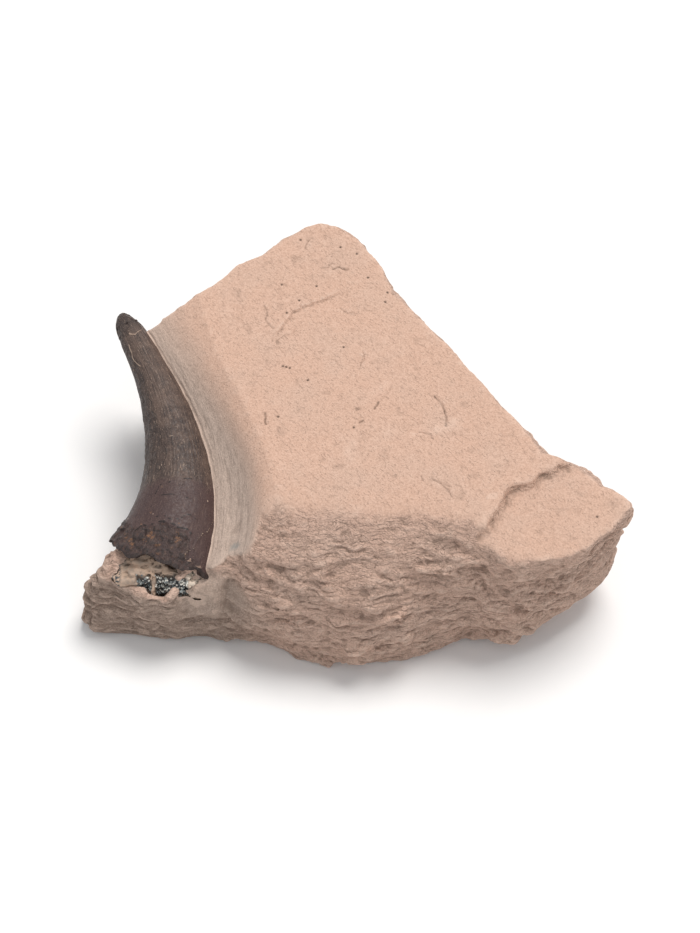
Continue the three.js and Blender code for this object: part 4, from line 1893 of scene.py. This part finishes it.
DARK_SEAM: tuple[Spot, ...] = (
    (0.25, 118), (0.317, 117), (0.383, 112), (0.473, 120), (0.567, 129), (0.653, 128), (0.752, 127),
    (0.8, 136), (0.88, 138), (1.0, 120),
)
OCHRE_SPOTS: tuple[Point, ...] = (
    (0.084, 103, 0.9), (0.06, 102, 1.1), (0.096, 76, 0.6), (0.076, 73, 0.8), (0.04, 118, 1.0),
    (0.05, 132, 0.8), (0.158, 117, 0.3), (0.13, 77, 0.25), (0.251, 109, 0.3), (0.105, 118, 0.6),
    (0.035, 88, 0.7), (0.07, 148, 0.6),
)


@dataclass
class ToothCrown:
    """The crown, grown along its curved middle line by geometry nodes, then cracked and chipped."""

    skin: Material
    form: CrownForm = field(default_factory=CrownForm)
    around: int = 300
    along: int = 250
    ridges: int = 58
    ridge_height: float = 0.025
    cap_share: float = 0.06
    sharp_angle: float = 50.0
    unmarked: float = 3.0
    name: str = "crown_enamel"

    def build(self) -> Object:
        """Builds and dresses the crown.

        Returns:
            The crown.
        """
        piece = self.grow(self.name, 0.0, self.around, self.along, self.ridge_height)
        self.mark(piece.data)
        sharpen(piece.data, self.sharp_angle)
        return piece

    def cutter(self, name: str, margin: float, slack: float) -> Object:
        """Grows a plainer crown to cut its socket with.

        Args:
            name: Its name.
            margin: How much larger it is.
            slack: How much further it stands out here and there, which leaves dark gaps.

        Returns:
            The cutter.
        """
        piece = self.grow(name, margin, self.around // 2, self.along // 2, 0.0)
        points, normals = points_and_normals(piece.data)
        gaps = smoothstep(0.1, 0.6, noise(points.T, 1.3, Seed.SOCKET_GAPS)) * slack
        move_points(piece.data, points + normals * gaps[:, None])
        return piece

    def grow(self, name: str, margin: float, around: int, along: int, ridge: float) -> Object:
        """Runs the crown's geometry nodes.

        Args:
            name: The piece's name.
            margin: How much larger it is than the crown.
            around, along: How finely it is divided.
            ridge: Height of its ridges.

        Returns:
            The piece.
        """
        form = self.form
        base, base_handle, tip_handle, tip = (tuple(to_frame(place)) for place in form.line)
        lengths = {
            "Base radius": form.base_radius, "Taper": form.taper, "Taper ease": form.taper_ease,
            "Lip": form.lip * form.base_radius * form.base_flatness, "Left lip": form.left_lip,
            "Setback": form.setback, "Margin": margin, "Ridge height": ridge,
        }
        return run_nodes(name, self.node_group(), {
            "Base": base, "Base handle": base_handle, "Tip handle": tip_handle, "Tip": tip,
            "Tip start": form.tip_start, "Tip flatness": form.tip_flatness,
            "Base flatness": form.base_flatness, "Cap share": self.cap_share, "Around": around,
            "Along": along, "Ridges": float(self.ridges), "Material": self.skin,
            **{label: length * MM for label, length in lengths.items()},
        })

    def node_group(self) -> NodeTree:
        """Builds the node tree, or finds the one already built.

        Returns:
            The geometry group.
        """
        if "crown_skin" in bpy.data.node_groups:
            return bpy.data.node_groups["crown_skin"]
        group = new_group("crown_skin", TreeKind.GEOMETRY, {
            **dict.fromkeys(("Base", "Base handle", "Tip handle", "Tip"), Kind.PLACE),
            **dict.fromkeys(("Base radius", "Taper", "Taper ease", "Tip start", "Tip flatness"), Kind.NUMBER),
            **dict.fromkeys(("Base flatness", "Lip", "Left lip", "Setback", "Margin"), Kind.NUMBER),
            **dict.fromkeys(("Cap share", "Ridges", "Ridge height"), Kind.NUMBER),
            **dict.fromkeys(("Around", "Along"), Kind.COUNT),
            "Material": Kind.MATERIAL,
        }, {"Geometry": Kind.GEOMETRY})
        wires = group_wires(group)
        line = add_node(group, "GeometryNodeCurvePrimitiveBezierSegment", {
            "Resolution": 96, "Start": wires["Base"], "Start Handle": wires["Base handle"],
            "End Handle": wires["Tip handle"], "End": wires["Tip"],
        })
        sheet = add_node(group, "GeometryNodeMeshGrid", {
            "Size X": 1.0, "Size Y": 1.0, "Vertices X": wires["Around"], "Vertices Y": wires["Along"],
        })
        place = add_node(group, "GeometryNodeInputPosition")
        parts = add_node(group, "ShaderNodeSeparateXYZ", {0: Wire(place.outputs[0])})
        angle = (Wire(parts.outputs["X"]) + 0.25) * (2.0 * math.pi)
        climb = Wire(parts.outputs["Y"]) + 0.5
        cap = wires["Cap share"]
        row = ((climb - cap) / (1.0 - cap)).clipped()
        reach = math_node(group, "SINE", row * (0.5 * math.pi))
        spread = math_node(group, "SQRT", ((climb - 0.001) / cap).clipped())
        sample = add_node(group, "GeometryNodeSampleCurve", {
            "Curves": Wire(line.outputs[0]), "Factor": reach,
        }, mode="FACTOR")
        ahead = Wire(sample.outputs["Tangent"])
        across = vector_node(group, "NORMALIZE", vector_node(group, "CROSS_PRODUCT", ahead, (0.0, 0.0, 1.0)))
        up = vector_node(group, "CROSS_PRODUCT", across, ahead)
        remaining = 1.0 - reach
        girth = wires["Base radius"] - wires["Taper"] * reach + wires["Taper ease"] * reach * reach
        tip = ((reach - wires["Tip start"]) / (1.0 - wires["Tip start"])).clipped()
        rounded = math_node(group, "SQRT", 1.0 - tip * tip)
        sine, cosine = math_node(group, "SINE", angle), math_node(group, "COSINE", angle)
        direction = add_node(group, "ShaderNodeCombineXYZ", {
            "X": cosine * 3.0, "Y": sine * 3.0, "Z": reach * 9.0,
        })
        uneven = Wire(noise_node(group, Wire(direction.outputs[0]), 1.0).outputs["Fac"])
        lines = math_node(group, "SINE", angle * wires["Ridges"] + uneven * 7.0)
        ridged = (lines * wires["Ridge height"] * uneven.mapped(0.35, 0.6)
                  * reach.mapped(0.26, 0.36) * reach.mapped(0.9, 0.75))
        wide = (girth + wires["Margin"]) * rounded + ridged
        flat = wires["Tip flatness"] - (wires["Tip flatness"] - wires["Base flatness"]) * remaining**2.0
        jags = 0.0
        for count, shift, height in ((3.0, 1.0, 0.5), (7.0, 0.0, 0.4), (13.0, 2.0, 0.3)):
            jags = math_node(group, "SINE", angle * count + shift) * height + jags
        lip = math_node(group, "MAXIMUM", sine, 0.0) * wires["Lip"] + (1.0 - cosine) * wires["Left lip"]
        edge = ((lip + jags * MM + wires["Margin"]) * spread - wires["Setback"]) * remaining**8.0
        skin = Wire(sample.outputs["Position"])
        for way, distance in ((across, wide * cosine * spread), (up, wide * flat * sine * spread),
                              (ahead, wires["Margin"] * tip - edge)):
            skin = vector_node(group, "ADD", skin, vector_node(group, "SCALE", way, distance))
        kept = Wire(sheet.outputs["Mesh"])
        for label, value in (("reach", reach), ("to_right", cosine), ("to_top", sine), ("spread", spread)):
            kept = keep_number(group, kept, label, value)
        moved = add_node(group, "GeometryNodeSetPosition", {"Geometry": kept, "Position": skin})
        welded = add_node(group, "GeometryNodeMergeByDistance", {
            "Geometry": Wire(moved.outputs[0]), "Distance": 1e-6,
        })
        finish_tree(group, Wire(welded.outputs[0]), wires["Material"])
        return group

    def mark(self, mesh: Mesh) -> None:
        """Cracks and chips the enamel, and keeps the masks that the finish reads.

        Args:
            mesh: The crown's grown mesh.
        """
        points, normals = points_and_normals(mesh)
        reach, turn = read(mesh, "reach"), np.arctan2(read(mesh, "to_top"), read(mesh, "to_right"))
        girth = self.form.girth(reach)
        x, y, z = points.T
        run = reach * self.form.length + 0.5 * noise((x, y, z), 1.6, Seed.CRACK_RUN)
        swing = turn * girth + 0.4 * noise((x, y, z), 1.4, Seed.CRACK_SWING)
        relief = 0.12 * noise((x, y, z), 5, Seed.CROWN_SWELL)
        relief = relief + 0.04 * noise((x, y, z), 1.2, Seed.CROWN_UNEVEN)
        crack = np.full(len(points), self.unmarked)
        line = np.full(len(points), self.unmarked)
        for mark in CROWN_MARKS:
            path = [self.unrolled(t, degrees) for t, degrees in mark.path]
            away = path_distance(run, swing, path) / mark.width
            relief -= mark.depth * bell(away, 0.5)
            if mark.pale > 0.5:
                crack = np.minimum(crack, away)
            else:
                line = np.minimum(line, away)
                if mark.pale > 0.0:
                    beyond = path_distance(run - 1.4 * mark.width, swing, path) / mark.width
                    crack = np.minimum(crack, beyond + 0.5 - mark.pale)
        degrees = np.degrees(turn)
        ragged = noise((x, y, z), 1.5, Seed.CROWN_ZONES) + 0.5 * noise((x, y, z), 0.6, Seed.CROWN_ZONES_FINE)
        arc = np.interp(degrees, *zip(*BASE_ARC))
        crumble = smoothstep(0.0, 0.014, arc - reach + 0.006 * ragged)
        tip = smoothstep(0.88, 0.93, reach + 0.008 * ragged)
        seam = smoothstep(-5.0, 5.0, degrees + 5.0 * ragged - np.interp(reach, *zip(*DARK_SEAM)))
        shade = seam * smoothstep(0.27, 0.36, reach)
        relief += crumble * 0.45 * (flakes((x, y, z), (1.5, 1.5, 1.1), Seed.CRUMBLE_FLAKES) - 0.6)
        relief += crumble * 0.12 * noise((x, y, z), 0.5, Seed.CRUMBLE_GRIT)
        relief += tip * 0.3 * (flakes((x, y, z), 1.2, Seed.TIP_FLAKES) - 0.8)
        relief += shade * 0.1 * noise((x, y, z), (0.6, 0.6, 0.9), Seed.SEAM_GRIT)
        relief += (1.0 - read(mesh, "spread")) * 0.5 * noise((x, y, z), 1.5, Seed.BROKEN_BASE)
        move_points(mesh, points + normals * relief[:, None])
        edge = smoothstep(0.8, 0.98, -np.cos(turn))
        spots = np.zeros(len(points))
        for t, turned, size in OCHRE_SPOTS:
            away = path_distance(run, swing, (self.unrolled(t, turned),))
            spots = np.maximum(spots, smoothstep(size, 0.4 * size, away))
        store(
            mesh,
            crack=crack,
            line=line,
            brown=(1.0 - seam) * smoothstep(0.48, 0.6, reach) * (1.0 - tip),
            plum=smoothstep(0.3, 0.24, reach + 0.012 * ragged) * (1.0 - 0.25 * crumble),
            shade=np.clip(0.6 * shade + 0.7 * edge + 0.7 * tip + 0.35 * crumble, 0.0, 1.0),
            crumble=crumble,
            ochre=spots,
            crease=hollowness(mesh),
        )

    def unrolled(self, t: float, degrees: float) -> Spot:
        """Turns a way along and an angle round the crown into millimetres along and across its skin."""
        return t * self.form.length, math.radians(degrees) * self.form.girth(t)


# ---- Root stump ----


CRUST_PATCHES: tuple[tuple[Spot, ...], ...] = (
    ((-37.9, -30.6), (-35.2, -31), (-35.2, -33.4), (-37, -33)),
    ((-34.5, -30.8), (-31, -30.8), (-28.8, -31.6), (-29, -33.8), (-32.7, -34), (-34.3, -34)),
)


@dataclass
class RootStump:
    """The broken stump of the root under the crown's lip, with crystals grown in its hollows."""

    skin: Material
    crystal: Material
    middle: Point = (-33.8, -28.4, 13.4)
    turn: float = -0.14
    half: Point = (8.4, 4.2, 4.4)
    roughness: float = 0.16
    detail: int = 7
    triangles: int = 60_000
    hole: Spot = (-33.6, -32.5)
    hole_radius: float = 0.8
    fragment: Spot = (-28.1, -30.9)
    fragment_size: float = 1.4
    speckled_edge: float = -40.6
    sharp_angle: float = 38.0
    grain_size: float = 0.24
    grain_sharp_angle: float = 20.0
    grain_seed: int = 7
    name: str = "root_bone_stump"
    grains_name: str = "mineral_grains"

    def lump(self, name: str, margin: float, detail: int) -> Object:
        """Makes the stump's rough lump, grown by a margin.

        Args:
            name: The piece's name.
            margin: How much larger it is than the stump.
            detail: How finely it is divided.

        Returns:
            The lump.
        """
        ball = bmesh.new()
        bmesh.ops.create_icosphere(ball, subdivisions=detail, radius=1.0)
        unit = np.array([vertex.co for vertex in ball.verts])
        faces = np.array([[vertex.index for vertex in face.verts] for face in ball.faces])
        ball.free()
        facets = noise(3 * unit.T, 1, Seed.STUMP_FACETS) + 0.6 * noise(7 * unit.T, 1, Seed.STUMP_FACETS_FINE)
        square = 1.0 / np.sqrt((np.abs(unit) ** 3.2).sum(1)) ** 0.45
        places = unit * (square * (1.0 + self.roughness * facets))[:, None] * (np.array(self.half) + margin)
        cosine, sine = math.cos(self.turn), math.sin(self.turn)
        x, y, z = places.T
        turned = np.stack([cosine * x - sine * y, sine * x + cosine * y, z], 1)
        return make_piece(name, turned + self.middle, faces)

    def crust_share(self, points: Array) -> Array:
        """How much each place belongs to the crystals' hollows.

        Args:
            points: Drafted places on the stump.

        Returns:
            Shares from 0 to 1.
        """
        x, y, z = points.T
        ragged_x = x + 0.25 * noise((x, y, 0.0), 0.8, Seed.CRUST_X)
        ragged_y = y + 0.25 * noise((x, y, 0.0), 0.8, Seed.CRUST_Y)
        inside = np.stack([-outline_distance(ragged_x, ragged_y, patch) for patch in CRUST_PATCHES]).max(0)
        return smoothstep(-0.15, 0.25, inside) * smoothstep(13.0, 14.0, z)

    def build(self, crown: Object) -> Object:
        """Builds and dresses the stump.

        Args:
            crown: A grown copy of the crown, which is used up.

        Returns:
            The stump.
        """
        piece = self.lump(self.name, 0.0, self.detail)
        points, normals = points_and_normals(piece.data)
        x, y, z = points.T
        crust = self.crust_share(points)
        calm = 1.0 - 0.6 * smoothstep(-35.0, -37.0, x)
        relief = calm * 0.4 * (flakes((x, y, z), (2.6, 2.6, 1.8), Seed.STUMP_FLAKES) - 0.6) - 0.6 * crust
        relief += calm * 0.12 * (flakes((x, y, z), (1.1, 1.1, 0.9), Seed.STUMP_FLAKES_FINE) - 0.5)
        relief += 0.06 * noise((x, y, z), 0.6, Seed.STUMP_GRIT)
        near_hole = bell(path_distance(x, y, (self.hole,)), self.hole_radius) * smoothstep(12, 14, z)
        near_fragment = smoothstep(2.6, self.fragment_size, path_distance(x, y, (self.fragment,)))
        relief -= 1.4 * near_hole
        relief += near_fragment * 0.3 * (flakes((x, y, z), 0.9, Seed.FRAGMENT_FLAKES) - 0.5)
        move_points(piece.data, points + normals * relief[:, None])
        cut_away(piece, crown)
        thin_out(piece, self.triangles)
        self.paint(piece.data)
        sharpen(piece.data, self.sharp_angle)
        dress(piece, self.skin)
        return piece

    def paint(self, mesh: Mesh) -> None:
        """Keeps the masks that the finish and the crystals read.

        Args:
            mesh: The stump's finished mesh.
        """
        points = drafted_points(mesh)
        x, y, z = points.T
        away = path_distance(x, y, (self.hole,)) + 0.2 * noise((x, y, z), 0.6, Seed.HOLE_EDGE)
        store(
            mesh,
            crust=self.crust_share(points),
            # Where the finish paints the hole's shade.
            hole=smoothstep(1.5 * self.hole_radius, 0.9 * self.hole_radius, away),
            pale=smoothstep(2.4, self.fragment_size, path_distance(x, y, (self.fragment,))),
            speckled=smoothstep(self.speckled_edge + 0.4, self.speckled_edge - 0.3, x),
            crease=hollowness(mesh),
        )

    def grow_crystals(self, stump: Object) -> Object:
        """Grows the crust of crystal grains in the stump's hollows.

        Args:
            stump: The finished stump.

        Returns:
            The grains, as one piece.
        """
        group = new_group("mineral_crust", TreeKind.GEOMETRY, {
            "Stump": Kind.OBJECT, "Spacing": Kind.NUMBER, "Density": Kind.NUMBER, "Grain size": Kind.NUMBER,
            "Seed": Kind.COUNT, "Material": Kind.MATERIAL,
        }, {"Geometry": Kind.GEOMETRY})
        wires = group_wires(group)
        ground = add_node(group, "GeometryNodeObjectInfo", {"Object": wires["Stump"]},
                          transform_space="ORIGINAL")
        share = add_node(group, "GeometryNodeInputNamedAttribute", {"Name": "crust"}, data_type="FLOAT")
        spots = add_node(group, "GeometryNodeDistributePointsOnFaces", {
            "Mesh": Wire(ground.outputs["Geometry"]), "Distance Min": wires["Spacing"],
            "Density Max": wires["Density"], "Density Factor": Wire(share.outputs[0]), "Seed": wires["Seed"],
        }, distribute_method="POISSON")
        turn = add_node(group, "FunctionNodeRandomValue", {"Seed": wires["Seed"]}, data_type="FLOAT_VECTOR")
        fill(turn, {0: (0.0, 0.0, 0.0), 1: (2.0 * math.pi,) * 3})
        size = add_node(group, "FunctionNodeRandomValue", {"Seed": wires["Seed"]}, data_type="FLOAT_VECTOR")
        fill(size, {0: (0.5, 0.5, 0.5), 1: (1.3, 1.0, 1.0)})
        tone = add_node(group, "FunctionNodeRandomValue", {"Seed": wires["Seed"]}, data_type="FLOAT")
        grain = add_node(group, "GeometryNodeMeshIcoSphere", {
            "Radius": wires["Grain size"], "Subdivisions": 1,
        })
        placed = add_node(group, "GeometryNodeInstanceOnPoints", {
            "Points": Wire(spots.outputs["Points"]), "Instance": Wire(grain.outputs["Mesh"]),
            "Rotation": Wire(turn.outputs[0]), "Scale": Wire(size.outputs[0]),
        })
        toned = keep_number(group, Wire(placed.outputs[0]), "tone", Wire(tone.outputs[1]), "INSTANCE")
        finish_tree(group, toned, wires["Material"])
        piece = run_nodes(self.grains_name, group, {
            "Stump": stump, "Spacing": 1.1 * self.grain_size * MM, "Density": 9.0 / MM**2,
            "Grain size": self.grain_size * MM, "Seed": self.grain_seed, "Material": self.crystal,
        })
        sharpen(piece.data, self.grain_sharp_angle)
        return piece


# ---- Studio ----


@dataclass
class Studio:
    """A pale floor, soft light and the camera."""

    elevation: float = 55.0
    distance: float = 500.0
    target: Point = (-0.77, -2.964, 12.729)
    lens: float = 107.181
    near_clip: float = 0.01
    floor_size: float = 6.0
    paper: Colour = tint(250, 250, 250)
    paper_shade: Colour = tint(247, 247, 247)
    sky: float = 0.55
    sky_colour: Colour = (0.96, 0.98, 1.0, 1.0)
    key_strength: float = 2.2
    key_colour: Point = (1.0, 0.965, 0.93)
    key_softness: float = 0.5
    key_from: Point = (0.22, 0.3, 0.93)

    def build(self) -> None:
        """Builds the floor, the lights and the camera."""
        scene = bpy.context.scene
        scene.view_settings.view_transform = "Standard"
        self.floor()
        world = bpy.data.worlds.new("soft_sky")
        world.use_nodes = True
        fill(world.node_tree.nodes["Background"], {"Color": self.sky_colour, "Strength": self.sky})
        scene.world = world
        light = bpy.data.lights.new("soft_window", "SUN")
        light.energy, light.color, light.angle = self.key_strength, self.key_colour, self.key_softness
        self.aim("soft_window", light, Vector(self.key_from), Vector((0.0, 0.0, 0.0)))
        camera = bpy.data.cameras.new("camera")
        camera.lens = self.lens
        camera.clip_start = self.near_clip
        tilt = math.radians(self.elevation)
        away = Vector((0.0, -math.cos(tilt), math.sin(tilt))) * self.distance * MM
        scene.camera = self.aim("camera", camera, Vector(self.target) * MM + away, Vector(self.target) * MM)

    def aim(self, name: str, data: bpy.types.ID, place: Vector, at: Vector) -> Object:
        """Puts a light or a camera at a place, aimed at another.

        Args:
            name: Its name.
            data: The light or the camera.
            place: Where it stands.
            at: Where it looks.

        Returns:
            Its object.
        """
        thing = bpy.data.objects.new(name, data)
        thing.location = place
        thing.rotation_euler = (at - place).to_track_quat("-Z", "Y").to_euler()
        bpy.context.scene.collection.objects.link(thing)
        return thing

    def floor(self) -> None:
        """Lays the floor under the block."""
        half = 0.5 * self.floor_size / MM
        corners = np.array([(-half, -half, 0), (half, -half, 0), (half, half, 0), (-half, half, 0)])
        floor = make_piece("floor", corners - CENTRING, np.array([[0, 1, 2, 3]]))
        material, shader, places = start_material("pale_paper", 0.9, 0.1)
        tree = material.node_tree
        tone = texture(tree, places, 40.0, 2.0)
        plug(shader.inputs["Base Color"], coats(tree, self.paper, (tone, self.paper_shade)))
        dress(floor, material)


# ---- Specimen ----


def main() -> None:
    """Builds the specimen and its studio."""
    logging.basicConfig(level=logging.INFO, format="%(name)s: %(message)s")
    effects = Effects(grain_group(), crinkle_group())
    tooth = ToothCrown(EnamelFinish(effects).material())
    root = RootStump(RootFinish(effects).material(), MineralFinish().material())
    block = MatrixBlock(StoneFinish(effects).material())
    adopt(tooth.build(), "tooth_crown")
    stump = root.build(tooth.cutter("stump_cutter", 0.05, 0.15))
    adopt(root.grow_crystals(stump))
    adopt(stump, "root_stump")
    cutters = [tooth.cutter("crown_cutter", 0.14, 0.35), root.lump("stump_socket", 0.25, 5)]
    adopt(block.build(cutters), "matrix_rock")
    Studio().build()


if __name__ == "__main__":
    main()
